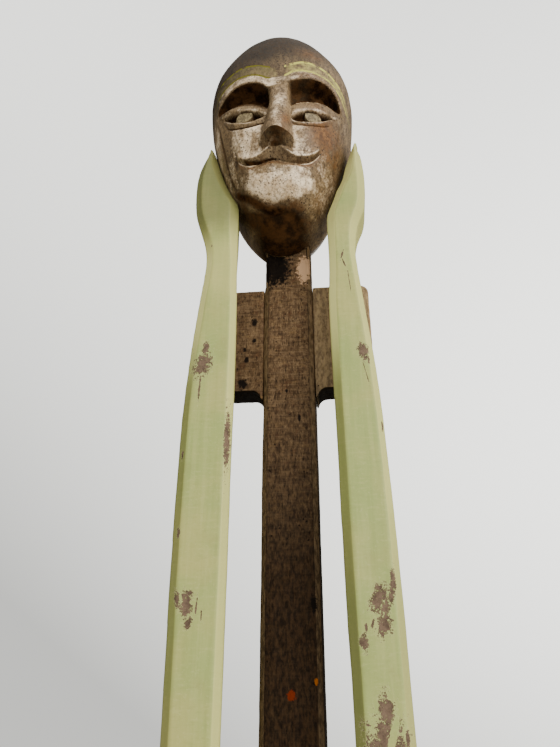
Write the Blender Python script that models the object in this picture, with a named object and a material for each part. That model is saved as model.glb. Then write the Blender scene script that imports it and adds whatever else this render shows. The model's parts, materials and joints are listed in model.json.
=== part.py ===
"""Wooden mannequin figure: a carved head on a square neck and post, two
shoulder blocks, hinged upper arms, and long forearms whose mitten hands rest
on the cheeks.  The figure stands on a plank base.

Frame: origin at the bottom centre of the base, +Z up, the face looks along -Y,
+X is on the right of someone looking at the face.  All lengths are in metres.
"Left" pieces are on the -X side and "right" pieces on the +X side.
"""

import math

import bmesh
import bpy
from mathutils import Vector

SIDES = ((-1, "left"), (1, "right"))

# ---------------------------------------------------------------- dimensions
GAP = 0.0003             # clearance between neighbouring pieces
ROD_CHAMFER = 0.0008     # on the ends of pegs and pins
PIN_RECESS = 0.0006      # peg ends below the outer face of a shoulder block
CUT_X = 0.10             # cutters run past the wood to this x
CUT_Y = 0.05             # and this y

# base
BASE_X = 0.320           # width
BASE_Y = 0.300           # depth
BATTEN_H = 0.020         # height of the runners under the board
BOARD_H = 0.040          # thickness of the base board
BOARD_TOP = BATTEN_H + BOARD_H
BOARD_BEVEL = 0.004
BATTEN_W = 0.056
BATTEN_X = 0.118         # centre of each runner
BATTEN_SETBACK = 0.008   # runner ends, in from the front and back of the board
BATTEN_BEVEL = 0.003
TENON = 0.038            # square tenon under the post
TENON_CHAMFER = 0.001
TENON_BOTTOM = BATTEN_H + 0.002
CLEAT_W = 0.056          # reach of a foot cleat from the post
CLEAT_H = 0.058
CLEAT_Y = 0.040          # its depth
CLEAT_TOE_H = 0.016      # height of its outer end
CLEAT_SHELF = 0.010      # width of its flat top

# screws
SCREW_TIP_R = 0.0008
SCREW_SHANK_R = 0.0020
SCREW_HEAD_R = 0.0043
SCREW_POINT = 0.005      # length of the tapered point
SCREW_SINK = 0.0028      # depth of the countersunk head
SCREW_RIM = 0.0005       # straight rim of the head
SCREW_TIP_Z = 0.046      # every screw ends at this height in the board
CLEAT_SCREW_TOP = BOARD_TOP + GAP + CLEAT_TOE_H - 0.0002
CLEAT_SCREW_INSET = 0.0065    # from the outer end of the cleat, without the gap
CLEAT_SCREW_Y = 0.012
BATTEN_SCREW_BOTTOM = 0.0015
BATTEN_SCREW_Y = 0.100

# post and neck
POST_X = 0.0485
POST_Y = 0.048
POST_CHAMFER = 0.0045
POST_TOP = 1.1278
POST_SIDE = POST_X / 2 + GAP  # inner face of the pieces beside the post
NECK = 0.0460            # square neck and head tenon
NECK_CHAMFER = 0.0015
NECK_TOP = 1.226
NECK_STEP = 0.001        # height of the slope from post to neck
NECK_END = 0.002         # chamfer round the top of the neck

# shoulder blocks
BLOCK_END = 0.0800       # outer end, from the centre plane
BLOCK_FRONT = -0.0200
BLOCK_BACK = 0.0090
PIN_Y = (BLOCK_FRONT + BLOCK_BACK) / 2     # every peg and pin lies in this plane
BLOCK_BOTTOM = 1.0145
BLOCK_TOP = POST_TOP
BLOCK_CORNER = 0.009     # rounded top outer corner
BLOCK_LOW_CORNER = 0.003
BLOCK_EDGE = 0.0014      # chamfer round the front and back faces
COVE = 0.0090            # radius of the cove that runs down into the post
COVE_FOOT = 0.0015       # thickness left at the bottom of the cove
DOWEL_R = 0.0050
DOWEL_UP_Z = 1.100
DOWEL_LOW_Z = 1.033
DOWEL_LOW_END = 0.040

# shoulder joint and upper arm
SHOULDER_Z = 1.043
PIN_R = 0.0060
PIN_IN = 0.0440          # blind end of the shoulder pin hole
ARM_IN = 0.0575          # upper arm board, inner face
ARM_OUT = 0.0715         # upper arm board, outer face
ARM_X = (ARM_IN + ARM_OUT) / 2
ARM_HALF = 0.0135        # half its width, and the radius of its ends
ARM_EDGE = 0.0012        # chamfer round its faces
SLOT_IN = ARM_IN - GAP
SLOT_OUT = ARM_OUT + GAP
SHOULDER_SLOT_Z = (0.95, SHOULDER_Z + 0.0165)

# elbow joint
ELBOW_Z = 0.660
ELBOW_PIN_R = 0.0050
ELBOW_PIN_RECESS = 0.0008
ELBOW_HOLE_IN = 0.03     # inner end of the elbow pin cutter
ELBOW_SLOT_Z = (0.55, 0.80)
WEB_BACK = -0.0216       # back of the wood between the two elbow cheeks
HEEL_R = 0.0205          # rounded point of the elbow
HEEL_BLEND = 0.066       # height over which the heel runs into the shaft

# forearm and hand
FORE_FRONT = -0.0670
FORE_BACK = -0.0310
FORE_BOTTOM = 0.6380
FORE_IN = 0.0428         # inner face of the left forearm, at its front edge
FORE_SLANT = 0.0070      # how much further out the inner face is at its back edge
SLANT_Z = 0.698          # the slant starts here
SLANT_RISE = 0.038       # and is full this much higher
HAND_Z = 1.125           # the shaft starts to turn into the hand here
HAND_RISE = 0.060        # and is all hand this much higher
HAND_FRONT = 0.0035      # how much the hand grows forward
HAND_BACK = 0.0080       # and backward
FOOT_ROUND = 0.0035      # inset of the rounded bottom end
FOOT_RISE = 0.004
TIP_ROUND = 0.016        # inset of the rounded fingertips, front and back
TIP_REACH = 0.024
HAND_MIN = 0.004         # least thickness of the wood
CORNER_SHARE = 0.45      # most of the thickness that one corner may take
PALM_CLEAR = 0.0012      # between palm and cheek
CHAMFER_SHAFT = 0.0055
CHAMFER_HAND = 0.0080
CHAMFER_LEFT = 0.0020    # extra width of the front corners that face -X

# outline of each arm seen from the front, by side: (height, outer edge)
OUTLINE = {
    -1: ((0.638, 0.0843), (0.740, 0.0843), (0.850, 0.0870), (0.950, 0.0878),
         (1.000, 0.0864), (1.050, 0.0831), (1.090, 0.0796), (1.130, 0.0760),
         (1.150, 0.0772), (1.170, 0.0826), (1.190, 0.0886), (1.215, 0.0914),
         (1.240, 0.0913), (1.262, 0.0868), (1.289, 0.0736)),
    1: ((0.638, 0.0838), (0.740, 0.0838), (0.850, 0.0830), (0.950, 0.0811),
        (1.000, 0.0790), (1.050, 0.0751), (1.090, 0.0715), (1.130, 0.0680),
        (1.150, 0.0690), (1.168, 0.0722), (1.188, 0.0795), (1.215, 0.0818),
        (1.240, 0.0814), (1.262, 0.0790), (1.282, 0.0720)),
}
# inner face of each arm at its front edge, by side: (height, distance from centre plane)
INNER = {
    -1: ((0.638, FORE_IN), (1.040, FORE_IN),
         (1.140, FORE_IN + 0.0017), (1.290, FORE_IN + 0.0017)),
    1: ((0.638, 0.0440), (0.700, 0.0436), (0.760, 0.0430), (0.850, 0.0414),
        (0.950, 0.0402), (1.020, 0.0394), (1.060, 0.0388), (1.083, 0.0388),
        (1.105, 0.0400), (1.130, 0.0408), (1.160, 0.0404), (1.190, 0.0408),
        (1.230, 0.0440), (1.290, 0.0440)),
}
# how far the front of the right palm stands open from the cheek: (height, opening)
PALM_OPEN = ((1.180, 0.0005), (1.200, 0.0078), (1.214, 0.0114),
             (1.228, 0.0118), (1.242, 0.0094), (1.290, 0.0100))
# heights of the forearm sections: listed up to the wrist, then stepped, then
# listed again as distances below the fingertips
SHAFT_STATIONS = (FORE_BOTTOM, FORE_BOTTOM + 0.0015, 0.642, 0.647, 0.653, 0.660,
                  0.668, 0.677, 0.688, 0.702, 0.718, 0.736, 0.756, 0.780,
                  0.830, 0.880, 0.930, 0.970)
WRIST_Z = 0.995
WRIST_END = 1.120
WRIST_STEP = 0.0150
HAND_STEP = 0.0075
HAND_STEPS_END = 0.018   # below the fingertips
TIP_STATIONS = (0.014, 0.0095, 0.0055, 0.0025, 0.0008)

# head: an egg whose lower face tapers to the jaw
HEAD_X = -0.0040
HEAD_Y = -0.0190
HEAD_Z = 1.3485
CROWN = 0.0880           # centre to top
JAW = 0.1830             # centre to underside
HEAD_HALF = 0.0800
FACE_DEPTH = 0.0990
BACK_DEPTH = 0.0897
JAW_POWER = 1.64
JAW_POWER_FRONT = 3.60
CROWN_POWER = 2.60
FRONT_POWER = 2.80       # flatter across the face
TOP_POWER = 2.00         # rounder across the upper forehead
FOREHEAD_Z = HEAD_Z - 0.012   # the face starts to grow rounder here
FOREHEAD_RISE = 0.055
BACK_POWER = 2.15
HEAD_ROWS = 46
HEAD_COLUMNS = 48
MORTISE_BOTTOM = 1.10    # lower end of the cutter, below the jaw
MORTISE_TOP = NECK_TOP + 0.004

# face
FACE_X = 0.0005          # centre line of the face
NOSE_TOP_Z = 1.320
NOSE_TIP_Z = 1.240
NOSE_OUT = 0.0125        # at the tip
NOSE_TOP_SHARE = 0.25    # share of that at the top
NOSE_HALF = 0.008        # half-width at the top, twice this at the tip
# soft swellings: (out, height, vertical spread, distance to each side, sideways spread)
FACE_BUMPS = (
    (0.0020, 1.308, 0.010, 0.030, 0.030),     # brows
    (-0.0060, 1.283, 0.013, 0.034, 0.017),    # eye sockets
    (0.0035, 1.225, 0.007, 0.0, 0.026),       # lips
    (0.0030, 1.203, 0.014, 0.0, 0.026),       # chin
)

# finishes
HEAD_WOOD = dict(colour=(0.150, 0.088, 0.052), roughness=0.5)
DARK_WOOD = dict(colour=(0.075, 0.042, 0.024), roughness=0.75)
GREEN_WOOD = dict(colour=(0.430, 0.450, 0.200), roughness=0.6)
PEG_WOOD = dict(colour=(0.180, 0.105, 0.058), roughness=0.6)
STEEL = dict(colour=(0.300, 0.290, 0.270), roughness=0.4, metallic=1.0)


# ------------------------------------------------------------------- objects
def material(name, colour, roughness, metallic=0.0):
    made = bpy.data.materials.new(name)
    made.use_nodes = True
    inputs = made.node_tree.nodes["Principled BSDF"].inputs
    inputs["Base Color"].default_value = (*colour, 1.0)
    inputs["Roughness"].default_value = roughness
    inputs["Metallic"].default_value = metallic
    made.diffuse_color = (*colour, 1.0)
    return made


def link_mesh(name, bm):
    """Turn a bmesh into a linked object with its normals facing out."""
    bmesh.ops.recalc_face_normals(bm, faces=bm.faces[:])
    mesh = bpy.data.meshes.new(name)
    bm.to_mesh(mesh)
    bm.free()
    made = bpy.data.objects.new(name, mesh)
    bpy.context.collection.objects.link(made)
    return made


def add_piece(name, bm, finish, sharp_angle=35.0, origin=(0.0, 0.0, 0.0)):
    """A visible piece; its mesh is given in scene coordinates."""
    for vert in bm.verts:
        vert.co -= Vector(origin)
    piece = link_mesh(name, bm)
    piece.location = origin
    piece.data.shade_smooth()
    piece.data.set_sharp_from_angle(angle=math.radians(sharp_angle))
    piece.data.materials.append(material(name, **finish))
    return piece


def add_cutter(name, bm):
    tool = link_mesh(name, bm)
    tool.hide_render = True
    tool.display_type = "WIRE"
    return tool


def cut(piece, *tools):
    for tool in tools:
        modifier = piece.modifiers.new("cut_" + tool.name, "BOOLEAN")
        modifier.operation = "DIFFERENCE"
        modifier.solver = "EXACT"
        modifier.object = tool


# -------------------------------------------------------------------- shapes
def bridge(bm, rows):
    """Join each closed row of vertices to the next with quads."""
    count = len(rows[0])
    for low, high in zip(rows[:-1], rows[1:]):
        for i in range(count):
            j = (i + 1) % count
            bm.faces.new((low[i], low[j], high[j], high[i]))


def loft(rings):
    """One closed solid from rings of equal vertex count, capped at both ends."""
    bm = bmesh.new()
    rows = [[bm.verts.new(point) for point in ring] for ring in rings]
    bridge(bm, rows)
    bm.faces.new(rows[0][::-1])
    bm.faces.new(rows[-1])
    return bm


def box_mesh(x_range, y_range, z_range, bevel=0.0):
    bm = bmesh.new()
    bmesh.ops.create_cube(bm, size=1.0)
    for vert in bm.verts:
        vert.co = [limits[0] if at < 0 else limits[1]
                   for at, limits in zip(vert.co, (x_range, y_range, z_range))]
    if bevel > 0:
        bmesh.ops.bevel(bm, geom=bm.edges[:], offset=bevel, segments=1, affect="EDGES")
    return bm


def arc(centre, radius, start, end, steps):
    """Points in a plane from angle start to angle end, in degrees."""
    angles = [math.radians(start + (end - start) * i / steps) for i in range(steps + 1)]
    return [(centre[0] + radius * math.cos(t), centre[1] + radius * math.sin(t)) for t in angles]


def circle(centre, radius, sides, start=0.0):
    return arc(centre, radius, start, start + 360.0, sides)[:-1]


def rod_mesh(x_range, radius, z, chamfer=0.0, sides=24):
    """A round rod along X in the plane of the pins, with chamfered ends."""
    a, b = x_range
    stops = [(a, radius), (b, radius)]
    if chamfer > 0:
        stops = [(a, radius - chamfer), (a + chamfer, radius),
                 (b - chamfer, radius), (b, radius - chamfer)]
    half_step = 180.0 / sides
    return loft([[(x, *point) for point in circle((PIN_Y, z), r, sides, half_step)]
                 for x, r in stops])


def square_ring(half_x, half_y, chamfer, z):
    """A rectangle with chamfered corners, centred on the Z axis."""
    in_x, in_y = half_x - chamfer, half_y - chamfer
    return [(half_x, -in_y, z), (half_x, in_y, z), (in_x, half_y, z), (-in_x, half_y, z),
            (-half_x, in_y, z), (-half_x, -in_y, z), (-in_x, -half_y, z), (in_x, -half_y, z)]


def span(side, near, far):
    """X range between two distances from the centre plane, low end first."""
    return sorted((side * near, side * far))


def smooth(t):
    t = min(1.0, max(0.0, t))
    return t * t * (3.0 - 2.0 * t)


def along(table, z):
    """Smooth curve through (height, value) points, level beyond the ends."""
    if z <= table[0][0]:
        return table[0][1]
    if z >= table[-1][0]:
        return table[-1][1]
    i = next(k for k in range(len(table) - 1) if z <= table[k + 1][0])
    (z0, v0), (z1, v1) = table[i], table[i + 1]
    z_before, v_before = table[max(0, i - 1)]
    z_after, v_after = table[min(len(table) - 1, i + 2)]
    step = z1 - z0
    slope0 = (v1 - v_before) / (z1 - z_before) * step
    slope1 = (v_after - v0) / (z_after - z0) * step
    t = (z - z0) / step
    return ((2 * t ** 3 - 3 * t * t + 1) * v0 + (t ** 3 - 2 * t * t + t) * slope0
            + (-2 * t ** 3 + 3 * t * t) * v1 + (t ** 3 - t * t) * slope1)


# ---------------------------------------------------------------------- head
def head_scale(z):
    """Width and front depth of the egg at height z, as shares of the largest."""
    def share(power):
        return math.sqrt(max(0.0, 1.0 - u ** power))

    above = z > HEAD_Z
    u = min(1.0, abs((z - HEAD_Z) / (CROWN if above else JAW)))
    if above:
        return share(CROWN_POWER), share(CROWN_POWER)
    return share(JAW_POWER), share(JAW_POWER_FRONT)


def head_section(z, in_front):
    """Half-width, depth and roundness of the front or back half of a section."""
    width, front = head_scale(z)
    if in_front:
        blend = smooth((z - FOREHEAD_Z) / FOREHEAD_RISE)
        power = FRONT_POWER + (TOP_POWER - FRONT_POWER) * blend
        return HEAD_HALF * width, FACE_DEPTH * front, power
    return HEAD_HALF * width, BACK_DEPTH * width, BACK_POWER


def head_half_width(y, z):
    """Half-width of the egg at depth y and height z; zero outside it."""
    if z <= HEAD_Z - JAW or z >= HEAD_Z + CROWN:
        return 0.0
    half, depth, power = head_section(z, y < HEAD_Y)
    q = abs(y - HEAD_Y) / max(depth, 1e-6)
    if q >= 1.0:
        return 0.0
    return half * (1.0 - q ** power) ** (1.0 / power)


def bump(value, centre, spread):
    return math.exp(-((value - centre) / spread) ** 2)


def face_relief(x, z):
    """How far the front of the face stands out at (x, z)."""
    aside = abs(x - FACE_X)
    out = 0.0
    if NOSE_TIP_Z <= z <= NOSE_TOP_Z:
        t = (NOSE_TOP_Z - z) / (NOSE_TOP_Z - NOSE_TIP_Z)
        ridge = max(0.0, 1.0 - (aside / (NOSE_HALF * (1 + t))) ** 2)
        out += NOSE_OUT * (NOSE_TOP_SHARE + (1 - NOSE_TOP_SHARE) * t) * ridge
    for height, at_z, spread_z, at_side, spread_side in FACE_BUMPS:
        out += height * bump(z, at_z, spread_z) * bump(aside, at_side, spread_side)
    return out


def head_point(z, turn):
    c, s = math.cos(turn), math.sin(turn)
    half, depth, power = head_section(z, s < 0)
    x = HEAD_X + half * math.copysign(abs(c) ** (2 / power), c)
    y = HEAD_Y + depth * math.copysign(abs(s) ** (2 / power), s)
    if s < 0:
        y -= face_relief(x, z) * smooth(-s * 1.6)    # fades out towards the ears
    return x, y, z


def head_mesh():
    bm = bmesh.new()
    rows = []
    for i in range(1, HEAD_ROWS):
        u = math.cos(math.pi * (1.0 - i / HEAD_ROWS))
        z = HEAD_Z + u * (CROWN if u > 0 else JAW)
        rows.append([bm.verts.new(head_point(z, 2 * math.pi * k / HEAD_COLUMNS))
                     for k in range(HEAD_COLUMNS)])
    bridge(bm, rows)
    foot = bm.verts.new((HEAD_X, HEAD_Y, HEAD_Z - JAW))
    top = bm.verts.new((HEAD_X, HEAD_Y, HEAD_Z + CROWN))
    for i in range(HEAD_COLUMNS):
        j = (i + 1) % HEAD_COLUMNS
        bm.faces.new((foot, rows[0][j], rows[0][i]))
        bm.faces.new((top, rows[-1][i], rows[-1][j]))
    return bm


def build_head():
    """Head, with a square mortise that slides over the neck."""
    head = add_piece("head", head_mesh(), HEAD_WOOD, sharp_angle=60.0)
    half = NECK / 2 + GAP
    cut(head, add_cutter("tool_neck_mortise",
                         loft([square_ring(half, half, NECK_CHAMFER, z)
                               for z in (MORTISE_BOTTOM, MORTISE_TOP)])))


# ------------------------------------------------------- post and shoulders
def build_post(dowel_holes):
    """Post, with a square neck above and a square tenon below."""
    tenon = (TENON / 2, TENON / 2, TENON_CHAMFER)
    shaft = (POST_X / 2, POST_Y / 2, POST_CHAMFER)
    neck = (NECK / 2, NECK / 2, NECK_CHAMFER)
    neck_end = (NECK / 2 - NECK_END, NECK / 2 - NECK_END, NECK_CHAMFER)
    sections = ((tenon, TENON_BOTTOM), (tenon, BOARD_TOP + GAP),
                (shaft, BOARD_TOP + GAP), (shaft, POST_TOP),
                (neck, POST_TOP + NECK_STEP), (neck, NECK_TOP - NECK_END),
                (neck_end, NECK_TOP))
    post = add_piece("body_post", loft([square_ring(*shape, z) for shape, z in sections]),
                     DARK_WOOD)
    cut(post, *dowel_holes)


def build_dowels():
    """Two pegs through the post and blocks; returns the cutters for their holes."""
    holes = []
    for level, z, end, hole_end in (
            ("upper", DOWEL_UP_Z, BLOCK_END - PIN_RECESS, CUT_X),
            ("lower", DOWEL_LOW_Z, DOWEL_LOW_END, DOWEL_LOW_END + GAP)):
        add_piece("shoulder_dowel_" + level,
                  rod_mesh((-end, end), DOWEL_R, z, ROD_CHAMFER), PEG_WOOD)
        holes.append(add_cutter("tool_dowel_" + level,
                                rod_mesh((-hole_end, hole_end), DOWEL_R + GAP, z)))
    return holes


def block_mesh(side):
    """Shoulder block: an XZ outline run from front to back."""
    outline = [(POST_SIDE, BLOCK_TOP)]
    outline += arc((BLOCK_END - BLOCK_CORNER, BLOCK_TOP - BLOCK_CORNER),
                   BLOCK_CORNER, 90, 0, 6)
    outline += arc((BLOCK_END - BLOCK_LOW_CORNER, BLOCK_BOTTOM + BLOCK_LOW_CORNER),
                   BLOCK_LOW_CORNER, 0, -90, 3)
    outline += arc((POST_SIDE + COVE_FOOT + COVE, BLOCK_BOTTOM - COVE), COVE, 90, 180, 6)
    outline.append((POST_SIDE, BLOCK_BOTTOM - COVE))
    mid_x = (POST_X / 2 + BLOCK_END) / 2
    mid_z = (BLOCK_TOP + BLOCK_BOTTOM) / 2
    rings = []
    for y, inset in ((BLOCK_FRONT, BLOCK_EDGE), (BLOCK_FRONT + BLOCK_EDGE, 0.0),
                     (BLOCK_BACK - BLOCK_EDGE, 0.0), (BLOCK_BACK, BLOCK_EDGE)):
        scale_x = 1 - inset / (BLOCK_END - mid_x)
        scale_z = 1 - inset / (BLOCK_TOP - mid_z)
        rings.append([(side * (mid_x + (x - mid_x) * scale_x), y, mid_z + (z - mid_z) * scale_z)
                      for x, z in outline])
    return loft(rings)


def build_shoulder(side, hand, dowel_holes):
    """Slotted block and its pin; returns the cutter for the pin hole."""
    block = add_piece("shoulder_block_" + hand, block_mesh(side), DARK_WOOD)
    slot = add_cutter("tool_shoulder_slot_" + hand,
                      box_mesh(span(side, SLOT_IN, SLOT_OUT), (-CUT_Y, CUT_Y), SHOULDER_SLOT_Z))
    pin_hole = add_cutter("tool_shoulder_pin_" + hand,
                          rod_mesh(span(side, PIN_IN, CUT_X), PIN_R + GAP, SHOULDER_Z))
    cut(block, slot, pin_hole, *dowel_holes)
    pin_span = span(side, PIN_IN + GAP, BLOCK_END - PIN_RECESS)
    add_piece("shoulder_pin_" + hand,
              rod_mesh(pin_span, PIN_R, SHOULDER_Z, ROD_CHAMFER), PEG_WOOD)
    return pin_hole


# ---------------------------------------------------------------------- arms
def arm_board(side):
    """Upper arm: a board with round ends about the shoulder and elbow pins."""
    x0, x1 = span(side, ARM_IN, ARM_OUT)
    rings = []
    for x, radius in ((x0, ARM_HALF - ARM_EDGE), (x0 + ARM_EDGE, ARM_HALF),
                      (x1 - ARM_EDGE, ARM_HALF), (x1, ARM_HALF - ARM_EDGE)):
        outline = (arc((PIN_Y, SHOULDER_Z), radius, 0, 180, 12)
                   + arc((PIN_Y, ELBOW_Z), radius, 180, 360, 12))
        rings.append([(x, y, z) for y, z in outline])
    return loft(rings)


def forearm_stations(tip):
    stations = list(SHAFT_STATIONS)
    z = WRIST_Z
    while z < WRIST_END:
        stations.append(z)
        z += WRIST_STEP
    while z < tip - HAND_STEPS_END:
        stations.append(z)
        z += HAND_STEP
    return stations + [tip - below for below in TIP_STATIONS]


def shaft_back(z):
    """Back of the forearm: a round heel about the elbow pin, then the straight shaft."""
    rise = z - ELBOW_Z
    if rise <= 0:
        return PIN_Y + math.sqrt(max(0.0, HEEL_R ** 2 - rise * rise))
    heel = PIN_Y + HEEL_R
    return heel + (FORE_BACK - heel) * smooth(rise / HEEL_BLEND)


def cheek_limit(side, y, z):
    """Least distance from the centre plane that keeps a point off the cheek."""
    return head_half_width(y, z) + HEAD_X * side + PALM_CLEAR


def forearm_ring(side, z):
    tip = OUTLINE[side][-1][0]
    hand = smooth((z - HAND_Z) / HAND_RISE)
    foot_in = FOOT_ROUND * (1 - smooth((z - FORE_BOTTOM) / FOOT_RISE))
    tip_share = max(0.0, 1.0 - (tip - z) / TIP_REACH)
    tip_in = TIP_ROUND * (1.0 - math.sqrt(1.0 - tip_share ** 2))
    front = FORE_FRONT - HAND_FRONT * hand + tip_in + foot_in
    back = shaft_back(z) + HAND_BACK * hand - tip_in - foot_in

    # inner face, at four depths between the corner chamfers
    chamfer = CHAMFER_SHAFT + (CHAMFER_HAND - CHAMFER_SHAFT) * hand
    depths = [front + chamfer + (back - front - 2 * chamfer) * k / 3 for k in range(4)]
    slant = FORE_SLANT * smooth((z - SLANT_Z) / SLANT_RISE)
    palm_open = along(PALM_OPEN, z) if side > 0 else 0.0
    inner = []
    for y in depths:
        t = (y - front) / (back - front)
        level = max(along(INNER[side], z) + slant * t, cheek_limit(side, y, z))
        inner.append(level + palm_open * (1.0 - t) + foot_in)

    outer = max(along(OUTLINE[side], z) - foot_in, max(inner) + HAND_MIN)
    room = (outer - max(inner)) * CORNER_SHARE
    plain = min(chamfer, room)
    wide = min(chamfer + CHAMFER_LEFT * (1 - hand), room)
    front_in, front_out = (wide, plain) if side > 0 else (plain, wide)
    ring = [(inner[0] + front_in, front), (outer - front_out, front),
            (outer, depths[0]), (outer, depths[3]),
            (outer - plain, back), (inner[3] + plain, back)]
    ring += list(zip(inner, depths))[::-1]
    # the palm's chamfered corners also stay off the cheek
    return [(side * max(x, cheek_limit(side, y, z)), y, z) for x, y in ring]


def forearm_mesh(side):
    """Forearm and mitten hand, lofted upward from the elbow heel."""
    return loft([forearm_ring(side, z) for z in forearm_stations(OUTLINE[side][-1][0])])


def build_arm(side, hand, shoulder_hole):
    """Upper arm and forearm, each with its origin on the pin it turns about."""
    upper = add_piece("upper_arm_" + hand, arm_board(side), GREEN_WOOD,
                      origin=(side * ARM_X, PIN_Y, SHOULDER_Z))
    elbow_hole = add_cutter("tool_elbow_pin_" + hand,
                            rod_mesh(span(side, ELBOW_HOLE_IN, CUT_X),
                                     ELBOW_PIN_R + GAP, ELBOW_Z))
    cut(upper, shoulder_hole, elbow_hole)

    fore = add_piece("forearm_" + hand, forearm_mesh(side), GREEN_WOOD,
                     origin=(side * ARM_X, PIN_Y, ELBOW_Z))
    slot = add_cutter("tool_elbow_slot_" + hand,
                      box_mesh(span(side, SLOT_IN, SLOT_OUT), (WEB_BACK, CUT_Y), ELBOW_SLOT_Z))
    cut(fore, slot, elbow_hole)
    pin_span = span(side, INNER[side][0][1] + ELBOW_PIN_RECESS,
                    OUTLINE[side][0][1] - ELBOW_PIN_RECESS)
    add_piece("elbow_pin_" + hand,
              rod_mesh(pin_span, ELBOW_PIN_R, ELBOW_Z, ROD_CHAMFER), PEG_WOOD)


# ---------------------------------------------------------------------- base
def build_board():
    """Base board, with a mortise for the post's tenon."""
    board = add_piece("base_board",
                      box_mesh((-BASE_X / 2, BASE_X / 2), (-BASE_Y / 2, BASE_Y / 2),
                               (BATTEN_H + GAP, BOARD_TOP), BOARD_BEVEL),
                      DARK_WOOD)
    half = TENON / 2 + GAP
    cut(board, add_cutter("tool_base_mortise",
                          box_mesh((-half, half), (-half, half), (0.0, 0.10))))
    return board


def turned_mesh(stops, centre):
    """A 16-sided solid about a vertical axis, from (height, radius) stops."""
    return loft([[(*point, z) for point in circle(centre, radius, 16)]
                 for z, radius in stops])


def add_screw(name, head_z, centre, pieces):
    """A countersunk wood screw with a plain shank, and its hole through the pieces."""
    up = 1 if head_z > SCREW_TIP_Z else -1
    point_z = SCREW_TIP_Z + up * SCREW_POINT
    neck_z = head_z - up * SCREW_SINK
    hole = add_cutter("tool_" + name, turned_mesh((
        (SCREW_TIP_Z - up * 0.001, SCREW_TIP_R + GAP),
        (point_z, SCREW_SHANK_R + GAP),
        (neck_z, SCREW_SHANK_R + GAP),
        (head_z - up * 0.0004, SCREW_HEAD_R + GAP),
        (head_z + up * 0.010, SCREW_HEAD_R + GAP)), centre))
    for piece in pieces:
        cut(piece, hole)
    add_piece(name, turned_mesh((
        (SCREW_TIP_Z, SCREW_TIP_R),
        (point_z, SCREW_SHANK_R),
        (neck_z, SCREW_SHANK_R),
        (head_z - up * SCREW_RIM, SCREW_HEAD_R),
        (head_z, SCREW_HEAD_R)), centre), STEEL)


def cleat_mesh(side):
    """Foot cleat: a block with a hollow cove rising to the post."""
    bottom = BOARD_TOP + GAP
    top = bottom + CLEAT_H
    end = POST_SIDE + CLEAT_W
    shelf = POST_SIDE + CLEAT_SHELF
    radius = CLEAT_H - CLEAT_TOE_H
    outline = [(POST_SIDE, bottom), (end, bottom), (end, bottom + CLEAT_TOE_H)]
    outline += arc((shelf + radius, top), radius, -90, -180, 9)[1:-1]
    outline += [(shelf, top), (POST_SIDE, top)]
    return loft([[(side * x, y, z) for x, z in outline] for y in (-CLEAT_Y / 2, CLEAT_Y / 2)])


def build_base_side(side, hand, board):
    """The cleat beside the post, the runner under the board, and their screws."""
    cleat = add_piece("foot_cleat_" + hand, cleat_mesh(side), DARK_WOOD)
    x = side * BATTEN_X
    half_y = BASE_Y / 2 - BATTEN_SETBACK
    batten = add_piece("base_batten_" + hand,
                       box_mesh((x - BATTEN_W / 2, x + BATTEN_W / 2), (-half_y, half_y),
                                (0.0, BATTEN_H), BATTEN_BEVEL),
                       DARK_WOOD)
    cleat_screw_x = side * (POST_X / 2 + CLEAT_W - CLEAT_SCREW_INSET)
    for kind, piece, head_z, screw_x, screw_y in (
            ("cleat", cleat, CLEAT_SCREW_TOP, cleat_screw_x, CLEAT_SCREW_Y),
            ("batten", batten, BATTEN_SCREW_BOTTOM, x, BATTEN_SCREW_Y)):
        for number, y in ((1, -screw_y), (2, screw_y)):
            add_screw(f"{kind}_screw_{hand}_{number}", head_z, (screw_x, y), (piece, board))


def build_figure():
    build_head()
    dowel_holes = build_dowels()
    build_post(dowel_holes)
    board = build_board()
    for side, hand in SIDES:
        shoulder_hole = build_shoulder(side, hand, dowel_holes)
        build_arm(side, hand, shoulder_hole)
        build_base_side(side, hand, board)


for old in list(bpy.data.objects):
    bpy.data.objects.remove(old, do_unlink=True)
build_figure()
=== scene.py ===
"""Wooden mannequin figure: carved head, green-painted arms, rough dark timber post, blocks and base.

The figure stands upright on z = 0 and faces -Y. Left is -X, as seen from the front.
"""
import json
import math
from functools import cached_property, reduce
from itertools import product
from types import SimpleNamespace

import bmesh
import bpy
import numpy as np
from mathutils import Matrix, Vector


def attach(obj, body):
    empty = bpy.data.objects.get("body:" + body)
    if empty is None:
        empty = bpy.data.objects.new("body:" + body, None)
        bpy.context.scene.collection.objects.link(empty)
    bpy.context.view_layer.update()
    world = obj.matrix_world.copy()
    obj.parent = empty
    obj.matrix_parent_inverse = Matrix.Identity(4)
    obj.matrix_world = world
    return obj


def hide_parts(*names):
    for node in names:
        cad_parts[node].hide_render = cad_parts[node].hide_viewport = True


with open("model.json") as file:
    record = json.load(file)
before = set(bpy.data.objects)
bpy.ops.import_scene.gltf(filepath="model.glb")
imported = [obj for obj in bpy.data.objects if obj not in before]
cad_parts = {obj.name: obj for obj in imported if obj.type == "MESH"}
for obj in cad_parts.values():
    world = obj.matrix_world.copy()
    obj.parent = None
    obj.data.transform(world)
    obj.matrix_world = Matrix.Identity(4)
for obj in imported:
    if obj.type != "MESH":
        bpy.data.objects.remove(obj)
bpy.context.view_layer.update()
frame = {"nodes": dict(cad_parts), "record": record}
nodes = frame["nodes"]
body_of = {n: b for b, ns in frame["record"]["behaviour"]["bodies"].items() for n in ns}
slot_of = {s["node"]: s["material_slot"] for s in frame["record"]["subparts"]}


# =========================================================== numeric helpers
def smooth(t):
    t = np.clip(t, 0.0, 1.0)
    return t * t * (3.0 - 2.0 * t)


def step(v, start, end):
    """0 at start, 1 at end; start may lie above end."""
    return smooth((v - start) / (end - start))


def bell(v, centre, width):
    return np.exp(-((v - centre) / width) ** 2)


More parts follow.
